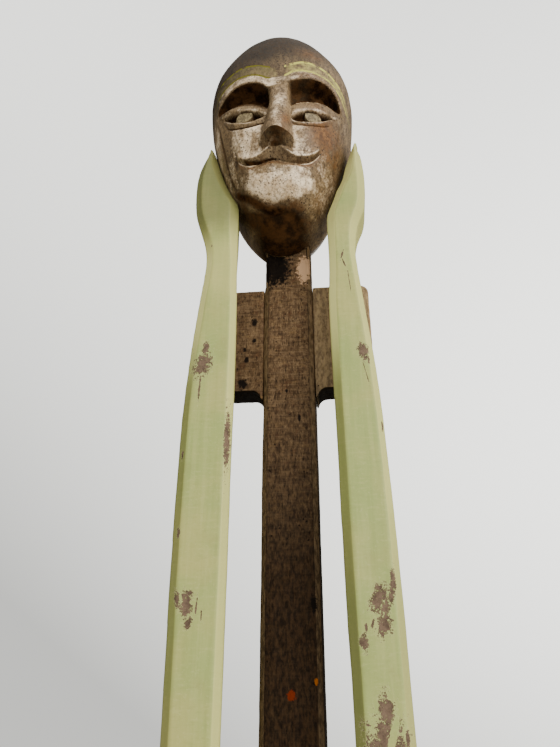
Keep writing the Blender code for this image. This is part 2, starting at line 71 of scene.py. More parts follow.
HASH_AXES = np.array([374761393, 668265263, 2147483647], np.int64)
HASH_SEED = 1274126177


def lattice(cell, seed):
    """A repeatable random value in -1..1 for each whole-number cell."""
    h = (cell @ HASH_AXES + seed * HASH_SEED) & 0xFFFFFFFF
    h = ((h ^ (h >> 13)) * HASH_SEED) & 0xFFFFFFFF
    h = (h ^ (h >> 16)) & 0xFFFF
    return h.astype(np.float64) / 32767.5 - 1.0


def noise(points, scale, seed=0):
    """Smooth value noise in -1..1; points is (n, 3) and scale is cycles per metre."""
    scaled = points * scale
    cell = np.floor(scaled).astype(np.int64)
    part = scaled - cell
    part = part * part * (3 - 2 * part)
    total = 0.0
    for corner in product((0, 1), repeat=3):
        weight = np.where(corner, part, 1 - part)
        total = total + weight[:, 0] * weight[:, 1] * weight[:, 2] * lattice(cell + corner, seed)
    return total


def fractal(points, scale, octaves, seed):
    total, amp, norm = 0.0, 1.0, 0.0
    for k in range(octaves):
        total = total + amp * noise(points, scale * 2 ** k, seed + 17 * k)
        norm += amp
        amp *= 0.5
    return total / norm


def curve(at, points):
    """Smooth (Hermite) interpolation through (position, value) points, held at both ends."""
    px, py = np.array(points, float).T
    slope = np.gradient(py, px)
    at = np.clip(at, px[0], px[-1])
    k = np.clip(np.searchsorted(px, at, side="right") - 1, 0, len(px) - 2)
    h = px[k + 1] - px[k]
    t = (at - px[k]) / h
    return ((2 * t ** 3 - 3 * t * t + 1) * py[k] + (t ** 3 - 2 * t * t + t) * slope[k] * h
            + (-2 * t ** 3 + 3 * t * t) * py[k + 1] + (t ** 3 - t * t) * slope[k + 1] * h)


# ============================================================== mesh helpers
def new_mesh(name, verts, faces):
    me = bpy.data.meshes.new(name)
    me.from_pydata(verts, [], faces)
    me.update()
    ob = bpy.data.objects.new(name, me)
    bpy.context.scene.collection.objects.link(ob)
    return ob


def read_vectors(me, key):
    """The "co" or "normal" of every vertex as an (n, 3) array."""
    values = np.zeros(len(me.vertices) * 3, np.float32)
    me.vertices.foreach_get(key, values)
    return values.reshape(-1, 3).astype(float)


def apply_all(ob):
    """Replaces ob's mesh with its evaluated mesh and drops the modifiers."""
    bpy.context.view_layer.update()
    dg = bpy.context.evaluated_depsgraph_get()
    me = bpy.data.meshes.new_from_object(ob.evaluated_get(dg))
    ob.modifiers.clear()
    ob.data = me


# ============================================================ shader helpers
# Saturation gain: a base, plus a share of the grey level up to a limit.
RICH_BASE, RICH_SHARE, RICH_LIMIT = 1.08, 0.85, 0.5


def srgb(*display):
    """A colour given as 0..255 display values, as linear RGBA, a little richer than given."""
    linear = []
    for v in display:
        v = v / 255.0
        linear.append(v / 12.92 if v <= 0.04045 else ((v + 0.055) / 1.055) ** 2.4)
    grey = 0.3 * linear[0] + 0.6 * linear[1] + 0.1 * linear[2]
    rich = RICH_BASE + RICH_SHARE * min(grey, RICH_LIMIT)
    return (*[max(grey + (v - grey) * rich, 0.0) for v in linear], 1.0)


class Wire:
    """A shader output; each arithmetic operator on it adds one Math node."""

    def __init__(self, graph, socket):
        self.graph, self.socket = graph, socket

    def __add__(self, other):
        return self.graph.math("ADD", self, other)

    def __radd__(self, other):
        return self.graph.math("ADD", other, self)

    def __sub__(self, other):
        return self.graph.math("SUBTRACT", self, other)

    def __rsub__(self, other):
        return self.graph.math("SUBTRACT", other, self)

    def __mul__(self, other):
        return self.graph.math("MULTIPLY", self, other)

    def __truediv__(self, other):
        return self.graph.math("DIVIDE", self, other)

    def __abs__(self):
        return self.graph.math("ABSOLUTE", self)

    def times_plus(self, factor, extra):
        return self.graph.math("MULTIPLY_ADD", self, factor, extra)

    def ramp(self, start, end, low=0.0, high=1.0):
        """Runs smoothly from low at start to high at end."""
        return self.graph.node("MapRange", {0: self, 1: start, 2: end, 3: low, 4: high},
                               interpolation_type="SMOOTHSTEP")


class Graph:
    """Builds nodes in a shader tree and hands back their outputs as wires."""

    def __init__(self, tree):
        self.tree = tree

    def put(self, socket, value):
        if isinstance(value, Wire):
            self.tree.links.new(value.socket, socket)
        else:
            socket.default_value = value

    def node(self, kind, inputs=None, output=0, **settings):
        node = self.tree.nodes.new("ShaderNode" + kind)
        for key, value in settings.items():
            setattr(node, key, value)
        for key, value in (inputs or {}).items():
            self.put(node.inputs[key], value)
        return Wire(self, node.outputs[output])

    def math(self, operation, a, b=0.0, *more, clamp=False):
        return self.node("Math", dict(enumerate((a, b, *more))),
                         operation=operation, use_clamp=clamp)

    def maximum(self, a, b):
        return self.math("MAXIMUM", a, b)

    def minimum(self, a, b):
        return self.math("MINIMUM", a, b)

    def split(self, vector):
        x = self.node("SeparateXYZ", {0: vector})
        return [Wire(self, socket) for socket in x.socket.node.outputs]


class Material(Graph):
    """A material in object coordinates; colours are wires or 0..255 display values."""

    def __init__(self, name):
        self.material = bpy.data.materials.new(name)
        self.material.use_nodes = True
        super().__init__(self.material.node_tree)
        self.place = self.node("TexCoord", output="Object")

    @cached_property
    def xyz(self):
        return self.split(self.place)

    def normal_xyz(self):
        return self.split(self.node("NewGeometry", output="Normal"))

    def pointiness(self):
        return self.node("NewGeometry", output="Pointiness")

    def attr(self, name):
        return self.node("Attribute", output="Fac", attribute_name=name)

    def noise(self, scale=1.0, detail=4.0, roughness=0.55, stretch=None, distortion=0.0):
        """Noise in cycles per metre; stretch gives a separate figure for each axis."""
        vector = self.place
        if stretch:
            vector = self.node("Mapping", {0: vector, "Scale": stretch})
        return self.node("TexNoise", {"Vector": vector, "Scale": scale, "Detail": detail,
                                      "Roughness": roughness, "Distortion": distortion},
                         output="Fac")

    def voronoi(self, scale, feature="F1"):
        return self.node("TexVoronoi", {"Vector": self.place, "Scale": scale},
                         output="Distance", feature=feature)

    def mix(self, factor, under, over):
        under, over = [c if isinstance(c, Wire) else srgb(*c) for c in (under, over)]
        return self.node("Mix", {0: factor, 6: under, 7: over}, output=2, data_type="RGBA")

    def blend(self, pattern, start, end, first, second):
        """Goes from the first colour to the second as pattern runs from start to end."""
        return self.mix(pattern.ramp(start, end), first, second)

    def coats(self, base, rows):
        """Lays colours over base; rows: pattern, ramp start, ramp end, strength, colour."""
        for pattern, start, end, strength, colour in rows:
            base = self.mix(pattern.ramp(start, end) * strength, base, colour)
        return base

    def bump(self, height, strength, distance, previous=None):
        inputs = {"Height": height, "Strength": strength, "Distance": distance}
        if previous:
            inputs["Normal"] = previous
        return self.node("Bump", inputs)

    def spot(self, wobble, x, z, radius_x, radius_z, tilt=0.0):
        """1 at the middle of an ellipse in the XZ plane, falling through 0 at its edge."""
        across, up = self.xyz[0] - x, self.xyz[2] - z
        if tilt:
            across = up.times_plus(-tilt, across)
        across, up = across / radius_x, up / radius_z
        return 1.0 + wobble - self.math("SQRT", across * across + up * up)

    def finish(self, colour, rough, normal=None, metallic=0.0, specular=0.5):
        surface = self.tree.nodes["Principled BSDF"].inputs
        self.put(surface["Base Color"], colour)
        self.put(surface["Roughness"], rough)
        self.put(surface["Metallic"], metallic)
        self.put(surface["Specular IOR Level"], specular)
        if normal:
            self.put(surface["Normal"], normal)
        return self.material


# ================================================================= materials
def dark_wood(name, axis, darken=1.0, spots=(), chamfers=0.0, right_lift=0.0, seam=0.0):
    """Rough-sawn dark timber: short broken fibres, pores, saw marks and listed spots.

    axis is the grain direction; chamfers and the right-side strength after it set painted light
    on the side-facing planed corners and on the right side; seam is the |x| of two grimy lines
    (0 for none).
    """
    m = Material(name)

    def grain(along, across, **texture):
        return m.noise(stretch=[along if a == axis else across for a in "xyz"], **texture)

    def tone(*display):
        return [v * darken for v in display]

    fibre = grain(150.0, 380.0, detail=5.0, roughness=0.66)
    streak = grain(9.0, 190.0, detail=3.0)
    fine = grain(330.0, 1100.0, roughness=0.65)
    pores = grain(170.0, 900.0, detail=2.0, roughness=0.5)
    broad = m.noise(9.0, roughness=0.6)
    mottle = m.noise(120.0, detail=5.0, roughness=0.68)
    # saw marks run across the grain, with fine ripples from side to side
    saw = grain(360.0, 90.0, roughness=0.68)
    ridge = grain(300.0, 110.0, roughness=0.68, distortion=0.4)
    tooth = grain(640.0, 42.0, detail=3.0, roughness=0.6, distortion=0.5)
    base = m.coats(m.blend(fibre, 0.32, 0.68, tone(62, 48, 36), tone(106, 88, 69)), (
        (streak, 0.55, 0.38, 0.26, tone(44, 31, 20)),
        (broad, 0.58, 0.40, 0.42, tone(58, 42, 28)),
        (mottle, 0.52, 0.68, 0.26, tone(128, 109, 89)),
        (fine, 0.55, 0.70, 0.50, tone(142, 122, 98)),
        (mottle, 0.47, 0.34, 0.30, tone(74, 44, 28)),
        (pores, 0.42, 0.31, 0.85, (16, 10, 6)),
        (saw, 0.52, 0.62, 0.34, (24, 15, 10)),
        (ridge, 0.55, 0.66, 0.26, tone(126, 104, 78)),
        (tooth, 0.52, 0.66, 0.22, tone(30, 20, 13)),
        (tooth, 0.48, 0.34, 0.17, tone(130, 112, 93))))
    x, _, z = m.xyz
    # painted light: the right side is lighter and greyer, making up for the arm's shadow on the block
    if right_lift:
        right_lift_colour = m.blend(fibre, 0.36, 0.64, (128, 112, 92), (176, 158, 132))
        base = m.coats(base, [(x, 0.010, 0.024, right_lift, right_lift_colour)])
    # grime sits along the lines where the corners were planed
    if seam:
        patchy = m.noise(60.0, roughness=0.7).ramp(0.34, 0.50)
        groove = abs(abs(x) - seam).ramp(0.0011, 0.0003) * patchy
        base = m.mix(groove * 0.85, base, (12, 8, 5))
    # rubbed edges are a little paler and warmer
    edge = m.pointiness().ramp(0.515, 0.56) * 0.7 * mottle.ramp(0.40, 0.62)
    base = m.mix(edge, base, (156, 126, 94))
    # the timber is darker lower down
    low = z.ramp(1.10, 0.82)
    base = m.mix(low * 0.90, base, m.blend(fibre, 0.4, 0.62, (15, 9, 5), (40, 27, 16)))
    # painted light: planed corners facing sideways are lighter and greyer, less so lower down
    if chamfers:
        aside = abs(m.normal_xyz()[0])
        bevel = aside.ramp(0.30, 0.52) * aside.ramp(0.97, 0.85)
        base = m.mix(bevel * low.times_plus(-0.35 * chamfers, chamfers), base,
                     m.blend(fibre, 0.36, 0.64, (76, 62, 46), (124, 106, 84)))
    # painted shade: faces turned downwards are darkened nearly to black
    base = m.coats(base, [(m.normal_xyz()[2], -0.20, -0.60, 0.95, (5, 3, 2))])
    # small pits
    pit = m.voronoi(170.0).ramp(0.16, 0.08) * m.noise(40.0, detail=2.0).ramp(0.52, 0.60)
    base = m.mix(pit, base, (10, 6, 4))
    # listed spots show on front faces only
    if spots:
        wobble = (m.noise(260.0, roughness=0.75) - 0.5) * 2.6
        facing = m.normal_xyz()[1].ramp(-0.15, -0.55)
        for *ellipse, colour in spots:
            inside = m.spot(wobble, *ellipse).ramp(0.0, 0.35)
            base = m.mix(inside * facing * 0.96, base, colour)
    height = fibre * 0.8 + fine * 0.6 + pores.ramp(0.28, 0.42) * 0.5 + saw * 0.35 - pit * 1.2
    return m.finish(base, mottle.ramp(0.3, 0.7, low=0.66, high=0.88),
                    m.bump(height, strength=0.55, distance=0.0006), specular=0.06)


def chip_mask(m, chips, islands, point):
    """The listed chips as a raw field, and bare wood: chips, specks and rubbed edges."""
    coarse = (m.noise(150.0, detail=5.0, roughness=0.75) - 0.5) * 2.4
    fine = (m.noise(620.0, roughness=0.75) - 0.5) * 3.0
    wobble = coarse + fine
    chip = reduce(m.maximum, [m.spot(wobble, *row) for row in chips])
    for row in islands:
        chip = m.minimum(chip, m.spot(wobble * 0.45, *row) * -3.0)
    speck = (m.noise(330.0, detail=3.0, roughness=0.7).ramp(0.71, 0.74)
             * m.noise(16.0, detail=2.0, roughness=0.5).ramp(0.58, 0.66))
    rub = point.ramp(0.55, 0.61) * m.noise(26.0, detail=5.0, roughness=0.7).ramp(0.58, 0.62)
    bare = m.maximum(chip.ramp(0.0, 0.10), m.maximum(speck, rub))
    # flakes of paint are left near the chip edges
    flake = m.noise(360.0, roughness=0.75).ramp(0.57, 0.62) * 0.85
    return chip, bare * (1.0 - flake * chip.ramp(0.9, 0.2))


def green_paint(name, chips, islands=(), hand_shade=0.0):
    """Pale yellow-green matt paint, chipped through to a grey-brown ground.

    Chips and the paint islands inside them: x, z, x radius, z radius, tilt.
    """
    m = Material(name)
    broad = m.noise(11.0, roughness=0.6)
    brush = m.noise(roughness=0.6, stretch=(230, 230, 14))
    ripple = m.noise(detail=3.0, roughness=0.6, stretch=(90, 90, 420))
    stipple = m.noise(480.0, detail=3.0, roughness=0.6)
    dirt = m.noise(34.0, detail=5.0, roughness=0.62)
    x, _, z = m.xyz
    side = m.normal_xyz()[0]
    point = m.pointiness()
    # painted highlight: faces turned right get a lighter paint colour
    paint = m.coats(m.blend(broad, 0.36, 0.62, (148, 156, 108), (165, 163, 118)), (
        (brush, 0.48, 0.68, 0.20, (184, 184, 142)),
        (brush, 0.48, 0.32, 0.20, (128, 138, 88)),
        (ripple, 0.54, 0.68, 0.22, (182, 180, 140)),
        (ripple, 0.46, 0.32, 0.22, (132, 138, 92)),
        (stipple, 0.56, 0.70, 0.16, (196, 194, 158)),
        (dirt, 0.56, 0.74, 0.28, (132, 128, 88)),
        (side, 0.34, 0.56, 0.62, (196, 193, 148))))  # faces turned right
    # painted light and shade by face direction: faces turned left are darker below the wrist and
    # lighter above it, and faces low on the right arm are darker; a band at the left wrist is lighter
    turned_left = side.ramp(-0.34, -0.56)
    wrist = z.ramp(0.985, 1.075)
    left_wrist = x.ramp(0.02, -0.02) * (z.ramp(1.080, 1.110) * z.ramp(1.170, 1.140))
    foot = z.ramp(0.92, 0.80) * x.ramp(-0.02, 0.02)
    upper = wrist * m.maximum(x.ramp(-0.02, 0.02), z.ramp(1.180, 1.130))
    for mask, colour in ((left_wrist * 0.42, (196, 190, 146)),
                         (turned_left * wrist.times_plus(-0.62, 0.62), (112, 112, 72)),
                         (turned_left * upper * 0.80, (214, 212, 166)),
                         (turned_left * foot * 0.34, (66, 66, 38)),
                         (side.ramp(0.34, 0.56) * foot * 0.36, (104, 104, 66))):
        paint = m.mix(mask, paint, colour)
    paint = m.coats(paint, (
        (z, 1.150, 1.190, hand_shade, (80, 80, 50)),  # painted shade: the hand is darker
        (point, 0.515, 0.56, 0.40, (202, 198, 156)),  # worn edges
        (point, 0.485, 0.44, 0.60, (88, 84, 52))))  # dirt in hollows
    chip, bare = chip_mask(m, chips, islands, point)
    ground = m.blend(m.noise(210.0, detail=5.0, roughness=0.7), 0.35, 0.65,
                     (78, 63, 51), (112, 94, 79))
    pepper = m.noise(420.0, detail=3.0, roughness=0.7)
    ground = m.coats(ground, [(pepper, 0.56, 0.68, 0.6, (50, 37, 28))])
    # a paler ring runs round each chip
    ring = (chip.ramp(-0.20, 0.0) - chip.ramp(0.0, 0.08)) * 0.45
    colour = m.mix(bare, m.mix(ring, paint, (204, 202, 166)), ground)
    strokes = m.bump(brush * 0.5 + stipple * 0.35, strength=0.30, distance=0.00030)
    normal = m.bump(1.0 - bare, strength=0.7, distance=0.00035, previous=strokes)
    return m.finish(colour, bare.ramp(0.0, 1.0, low=0.55, high=0.85), normal, specular=0.35)


def head_wood():
    """Waxed carved wood: crown darkened as painted shade, pale rubbed cheeks and chin with some
    painted highlights, painted shade in the hollows, painted forehead lines.
    """
    m = Material("head_wood")
    pale, shade_and_marks, line, warm, iris, wash, olive = [m.attr(name) for name in (
        "pale", "shade_and_marks", "line", "warm", "iris", "wash", "olive")]
    grain = m.noise(roughness=0.6, stretch=(260, 170, 60), distortion=0.8)
    fine = m.noise(roughness=0.65, stretch=(760, 560, 210))
    cloud = m.noise(24.0, detail=5.0, roughness=0.62)
    mid = m.noise(95.0, detail=5.0, roughness=0.68)
    small = m.noise(360.0, roughness=0.7)
    scratch = m.noise(detail=3.0, roughness=0.7, stretch=(900, 700, 420))
    x, _, z = m.xyz
    crown = x.times_plus(-0.35, z).ramp(1.300, 1.372)
    smoke = m.spot(cloud - 0.5, x=-0.016, z=1.357, radius_x=0.016, radius_z=0.014)
    brown = m.coats(m.blend(grain, 0.32, 0.68, (88, 73, 55), (138, 119, 95)), (
        (cloud, 0.46, 0.64, crown.times_plus(-0.32, 0.50), (146, 126, 100)),
        (mid, 0.52, 0.66, 0.60, (60, 45, 31)),
        (small, 0.52, 0.62, crown.times_plus(-0.22, 0.45), (158, 140, 114)),
        (smoke, 0.0, 0.6, 0.50, (60, 62, 62))))  # smoky patch on the forehead
    # painted shade: the crown is darkened towards the top, against the light from above
    brown = m.mix(crown * 0.92, brown, m.blend(small * 0.5 + mid * 0.5, 0.40, 0.60,
                                               (17, 14, 11), (50, 41, 32)))
    brown = m.coats(brown, [(scratch, 0.50, 0.60, 0.45, (48, 36, 25))])
    rust = m.coats(m.blend(mid, 0.36, 0.64, (72, 44, 26), (126, 92, 62)),
                   [(small, 0.48, 0.60, 0.65, (70, 48, 32))])
    rusty = warm * (cloud * 0.5 + mid * 0.5).ramp(0.36, 0.56)
    brown = m.mix(rusty, brown, rust)
    bone = m.coats(m.blend(mid, 0.30, 0.66, (178, 156, 128), (240, 225, 203)), (
        (small, 0.50, 0.60, 0.50, (128, 102, 76)),
        (cloud, 0.50, 0.66, 0.35, (138, 112, 84))))
    # the pale areas end in a ragged edge
    ragged = (mid * 0.36 + (cloud * 0.24 + small * 0.40) - 0.5) * 4.6
    # painted highlights on the lip ridges, lower lids, nose tip and right cheek ride in the pale mask
    # with the real pale wear
    pale_wear_and_highlight = (pale + ragged).ramp(0.30, 0.95) * pale.ramp(0.02, 0.25)
    colour = m.mix(pale_wear_and_highlight, brown, bone)
    colour = m.mix(rusty * 0.62, colour, rust)
    colour = m.mix(iris * 0.9, colour, m.blend(small, 0.4, 0.62, (92, 82, 62), (146, 134, 108)))
    # rubbed ridges
    ridge_strength = 0.12 + pale * 0.6
    colour = m.coats(colour, [(m.pointiness(), 0.53, 0.62, ridge_strength, (218, 204, 180))])
    # black specks and pores
    speck = m.voronoi(300.0).ramp(0.28, 0.18) * m.noise(62.0, detail=3.0).ramp(0.47, 0.55)
    colour = m.mix(speck * 0.85, colour, (28, 22, 18))
    dirt = m.noise(480.0, detail=3.0, roughness=0.7)
    colour = m.coats(colour, [(dirt, 0.54, 0.61, 0.60, (58, 44, 30))])
    # painted lines, half rubbed away
    worn = m.noise(150.0, roughness=0.7).ramp(0.38, 0.50)
    colour = m.mix(wash * 0.8 * mid.ramp(0.34, 0.60), colour, (186, 180, 130))
    green = m.blend(olive, 0.05, 0.30, (182, 178, 122), (100, 96, 34))
    colour = m.mix(line.ramp(0.30, 0.60) * worn, colour, green)
    # painted shade: hollows, creases, undersides and the jaw beside the arms are darkened, with a few
    # dark marks
    hollow = (shade_and_marks + (mid - 0.5) * 0.30).ramp(0.10, 0.86)
    colour = m.mix(hollow, colour, m.blend(mid, 0.4, 0.62, (26, 16, 9), (66, 45, 28)))
    rough = small.ramp(0.3, 0.7, low=0.34, high=0.60) + hollow * 0.30 + crown * 0.12
    height = grain * 0.45 + fine * 0.40 - speck * 1.2 + m.voronoi(110.0, "SMOOTH_F1") * 0.4
    return m.finish(colour, rough, m.bump(height, strength=0.42, distance=0.0006),
                    specular=(1.0 - hollow) * pale_wear_and_highlight.times_plus(0.35, 0.22))


def peg_wood():
    m = Material("peg_wood")
    ring = m.noise(roughness=0.6, stretch=(30, 900, 900))
    colour = m.coats(m.blend(ring, 0.35, 0.65, (72, 48, 30), (128, 94, 62)),
                     [(m.noise(500.0, detail=3.0), 0.55, 0.7, 0.6, (30, 20, 12))])
    return m.finish(colour, 0.7, m.bump(ring, strength=0.5, distance=0.0003))


def steel():
    m = Material("screw_steel")
    stain = m.noise(700.0, roughness=0.6)
    return m.finish(m.blend(stain, 0.4, 0.65, (112, 106, 98), (78, 62, 48)),
                    stain.ramp(0.3, 0.7, low=0.35, high=0.65),
                    m.bump(stain, strength=0.3, distance=0.0001), metallic=1.0)


def floor_paint():
    m = Material("floor_paint")
    cloud = m.noise(3.0, roughness=0.5)
    return m.finish(m.blend(cloud, 0.3, 0.7, (214, 213, 207), (221, 220, 214)), 0.8)


# ================================================================= head shape
HEAD_X, HEAD_Y, HEAD_Z = -0.0040, -0.0190, 1.3485  # middle of the widest section
CROWN, JAW, HEAD_HALF = 0.0880, 0.1830, 0.0800  # height above, depth below, half width
FACE_DEPTH, BACK_DEPTH = 0.0990, 0.0897
# Superellipse powers: upright profiles, then plan outlines.
JAW_POWER, JAW_POWER_FRONT, CROWN_POWER = 1.64, 3.60, 2.60
FRONT_POWER, TOP_POWER, BACK_POWER = 2.80, 2.00, 2.15
NECK = 0.0460  # side of the square neck
NECK_GAP = 0.0004
MORTISE_LOW, MORTISE_TOP = 1.10, 1.231
ROWS, COLUMNS = 345, 280
# Row spacing on the front profile: above z, up to z, spacing; later rows win.
ROW_SPACING = ((0.0, 9.0, 0.0032), (1.322, 1.348, 0.0011), (1.184, 1.322, 0.00068),
               (1.2312, 1.2378, 0.00040), (0.0, 1.184, 0.0010), (0.0, 1.1695, 0.0022))
FACE_X = -0.0020  # middle line of the face


def mm(*points):
    """(x, height above 1 m) in millimetres, as (x, z) in metres."""
    return tuple((a / 1000.0, 1.0 + b / 1000.0) for a, b in points)


# Carved lines across the face: z at each x.
FACE_LINES = {
    "brow": mm(
        (-67, 300.6), (-60, 305.4), (-50, 310.4), (-40, 312.9), (-30, 312.8), (-22, 310.8),
        (-16, 307.6), (-11, 303.0), (0, 303.0), (10, 307.2), (15, 310.3), (21, 312.4), (27, 313.7),
        (33, 314.4), (39, 314.6), (45, 313.9), (51, 311.9), (56, 309.2), (60, 304.2), (62.4, 298.5)),
    # top of the upper lid
    "lid_top": mm(
        (-66.5, 300.4), (-54.6, 295.6), (-46.6, 292.9), (-39, 291.0), (-33, 289.2), (-27, 287.0),
        (-21, 284.0), (-15.6, 281.2), (-11.8, 278.8), (0, 277.0), (11.5, 278.3), (14.4, 281.2),
        (19, 283.8), (25.5, 286.0), (32, 287.7), (38.5, 289.6), (45, 291.4), (51.5, 293.2),
        (57.2, 295.3), (61.7, 299.0)),
    "eye_top": mm(
        (-66.5, 297.2), (-57, 287.8), (-53, 286.0), (-47, 283.9), (-39.7, 280.7), (-32.6, 278.1),
        (-26.7, 276.0), (-21, 273.2), (-16.2, 270.3), (-12.5, 268.0), (0, 262.0), (11.3, 263.3),
        (14.2, 266.2), (18.9, 269.3), (24.4, 271.6), (30.8, 273.5), (37.1, 275.1), (43.5, 276.6),
        (49.1, 278.6), (53.3, 280.4), (61.0, 291.0)),
    "eye_low": mm(
        (-66.5, 297.2), (-57, 284.6), (-51, 277.1), (-44.2, 271.4), (-40, 268.2), (-33, 265.0),
        (-26, 264.2), (-21.2, 265.2), (-16.5, 267.0), (-12.7, 268.6), (0, 264.0), (11.3, 265.0),
        (14, 261.3), (19.4, 259.1), (24.8, 259.5), (32.1, 261.6), (39.4, 265.5), (45.1, 271.1),
        (50.8, 277.9), (53.3, 281.0), (61.0, 291.0)),
    # crease below the lower lid
    "crease": mm(
        (-66, 284.0), (-54.8, 273.1), (-48.4, 266.7), (-40.8, 261.9), (-32.7, 259.0),
        (-25.9, 258.2), (-20.2, 259.1), (-14.5, 260.3), (0, 259.0), (13.1, 257.7), (18.4, 255.9),
        (24.7, 255.9), (32, 257.7), (38.4, 260.7), (44.8, 265.0), (50.6, 271.2), (60, 281.0)),
    # ridge of the upper lip
    "ridge": mm(
        (-46, 236.5), (-41.2, 230.2), (-33, 225.1), (-26.3, 223.4), (-19.5, 225.0), (-13.9, 228.0),
        (-9.2, 231.2), (-3.7, 232.8), (0.8, 231.6), (5.2, 227.9), (10.4, 224.4), (15.6, 222.5),
        (21.8, 222.9), (29, 225.8), (33.5, 229.2), (37.1, 233.4), (42, 240.0)),
    "mouth": mm(
        (-46, 236.0), (-42.0, 230.8), (-37.0, 226.0), (-31, 222.2), (-24.3, 220.7), (-18.6, 220.8),
        (-12.9, 222.0), (-5.5, 222.6), (0, 221.4), (5.3, 219.8), (12.4, 218.7), (21.4, 219.8),
        (28.6, 223.2), (34.2, 228.6), (37.5, 233.2), (42, 240.0)),
    # lower and upper painted lines of the forehead
    "line_low": mm(
        (-74, 309.0), (-66, 318.5), (-57.5, 323.6), (-49, 325.4), (-40, 326.9), (-31.7, 326.4),
        (-23.7, 325.0), (-17.8, 322.2), (-10, 318.0), (0, 318.5), (8.3, 320.7), (14, 324.4),
        (21, 326.4), (29, 326.4), (37, 325.6), (44, 324.2), (52, 322.8), (62, 318.5), (74, 308.0)),
    "line_up": mm(
        (-76, 322.0), (-68, 332.0), (-60.5, 336.2), (-53.4, 337.3), (-46.8, 338.8), (-40.4, 340.2),
        (-34.2, 340.6), (-26, 339.6), (-18, 337.4), (-10, 334.2), (0, 331.0), (4, 331.9),
        (10.3, 334.8), (17.1, 337.2), (23, 339.2), (30.5, 339.3), (38.1, 338.2), (44, 336.0),
        (51.3, 333.6), (60, 329.5), (74, 317.0)),
    # lower edge of the pale chin
    "chin_low": (
        (-0.056, 1.2220), (-0.050, 1.2150), (-0.042, 1.2050), (-0.033, 1.1965), (-0.022, 1.1885),
        (-0.012, 1.1840), (0.0, 1.1840), (0.012, 1.1865), (0.025, 1.1915), (0.040, 1.2010)),
    # edge of the flat cut under the chin
    "arch": (
        (-0.060, 1.2160), (-0.047, 1.2030), (-0.033, 1.1905), (-0.022, 1.1852), (-0.009, 1.1828),
        (0.005, 1.1825), (0.012, 1.1812), (0.018, 1.1790), (0.024, 1.1760), (0.034, 1.1700),
        (0.060, 1.1640)),
}
# z, half width of the face inside its edge groove
FACE_EDGE = (
    (1.1800, 0.030), (1.2000, 0.0395), (1.2150, 0.0460), (1.2320, 0.0520), (1.2500, 0.0556),
    (1.2650, 0.0588), (1.2770, 0.0610), (1.2930, 0.0650), (1.3050, 0.0675), (1.3200, 0.0700))
# z, half width of the nose
NOSE_HALF = (
    (1.228, 0.0186), (1.2365, 0.0188), (1.2430, 0.0180), (1.2500, 0.0155), (1.2580, 0.0132),
    (1.2700, 0.0122), (1.2850, 0.0120), (1.3000, 0.0126), (1.3150, 0.0150))
# z, how far the nose stands out
NOSE_RISE = (
    (1.228, 0.0190), (1.2365, 0.0188), (1.2430, 0.0178), (1.2520, 0.0150), (1.2620, 0.0122),
    (1.2740, 0.0094), (1.2870, 0.0068), (1.2980, 0.0050), (1.3080, 0.0026), (1.3200, 0.0))
NOSE_RIM, NOSE_FOOT = 1.2372, 1.2318  # z of the front rim and the foot of its underside
HOLLOW_DEPTH = 0.0135
EYE_DEPTH = 0.0072
LIP_RISE = 0.0036


# Each carve function adds to face.out (metres outward) and to the mask lists dark, pale and warm; dark
# is mostly painted shade, and pale holds some painted highlights besides pale wear.
def carve_edge(face):
    """The face is set back a little inside its edge groove."""
    z, brow, edge = face.z, face.brow, curve(face.z, FACE_EDGE)
    face.out -= (0.0020 * step(face.aside, edge + 0.0010, edge - 0.0030) * step(z, 1.190, 1.205)
                 * (1 - step(z, brow - 0.002, brow + 0.002)))
    groove = (bell(face.aside, edge + 0.0006, 0.0015) * step(z, 1.198, 1.214)
              * step(z, 1.302, 1.290))
    face.out -= 0.0011 * groove
    # painted shade in the groove
    face.dark.append(groove * np.where(face.left, 0.62, 0.38))


def carve_hollows(face):
    """Eye hollows: a ledge under the brow, then a floor that slopes out to the lid."""
    x, z, left, brow, lid_top = face.x, face.z, face.left, face.brow, face.lid_top
    face.out += (0.0020 * bell(z, brow + 0.0040, 0.0050) * step(face.aside, 0.004, 0.014)
                 * step(face.aside, 0.070, 0.060))
    span = (step(x, -0.0672, -0.0650) * step(x, -0.0082, -0.0122)
            + step(x, 0.0092, 0.0135) * step(x, 0.0628, 0.0608))
    tall = np.maximum(brow - lid_top, 1e-4)
    down = np.clip((brow - z) / tall, 0.0, 1.0)
    ledge = np.clip((brow - z) / 0.0011, 0.0, 1.0)
    slope = np.where(down < 0.5, 1.0, 1.0 - 0.92 * smooth((down - 0.5) / 0.5))
    hollow = span * (z < brow) * (z > lid_top - 0.0003)
    face.out -= HOLLOW_DEPTH * hollow * ledge * slope * np.clip(tall / 0.013, 0, 1)

    # painted shade under the brow ledge, and a dark line above the lid
    shade = np.where(left,
                     0.80 + 0.12 * step(down, 0.9, 0.2) - 0.10 * step(x, -0.040, -0.060),
                     0.72 + 0.28 * step(x - 0.5 * (z - 1.30), 0.020, 0.040))
    near = span * (z < brow + 0.0012) * (z > lid_top - 0.0003)
    face.dark += [near * step(z, brow + 0.0012, brow + 0.0003) * shade
                  * (1 - 0.34 * step(down, 0.80, 1.0) * left * 0.4),
                  bell(z, lid_top + 0.0008, 0.0010) * span * 0.65]


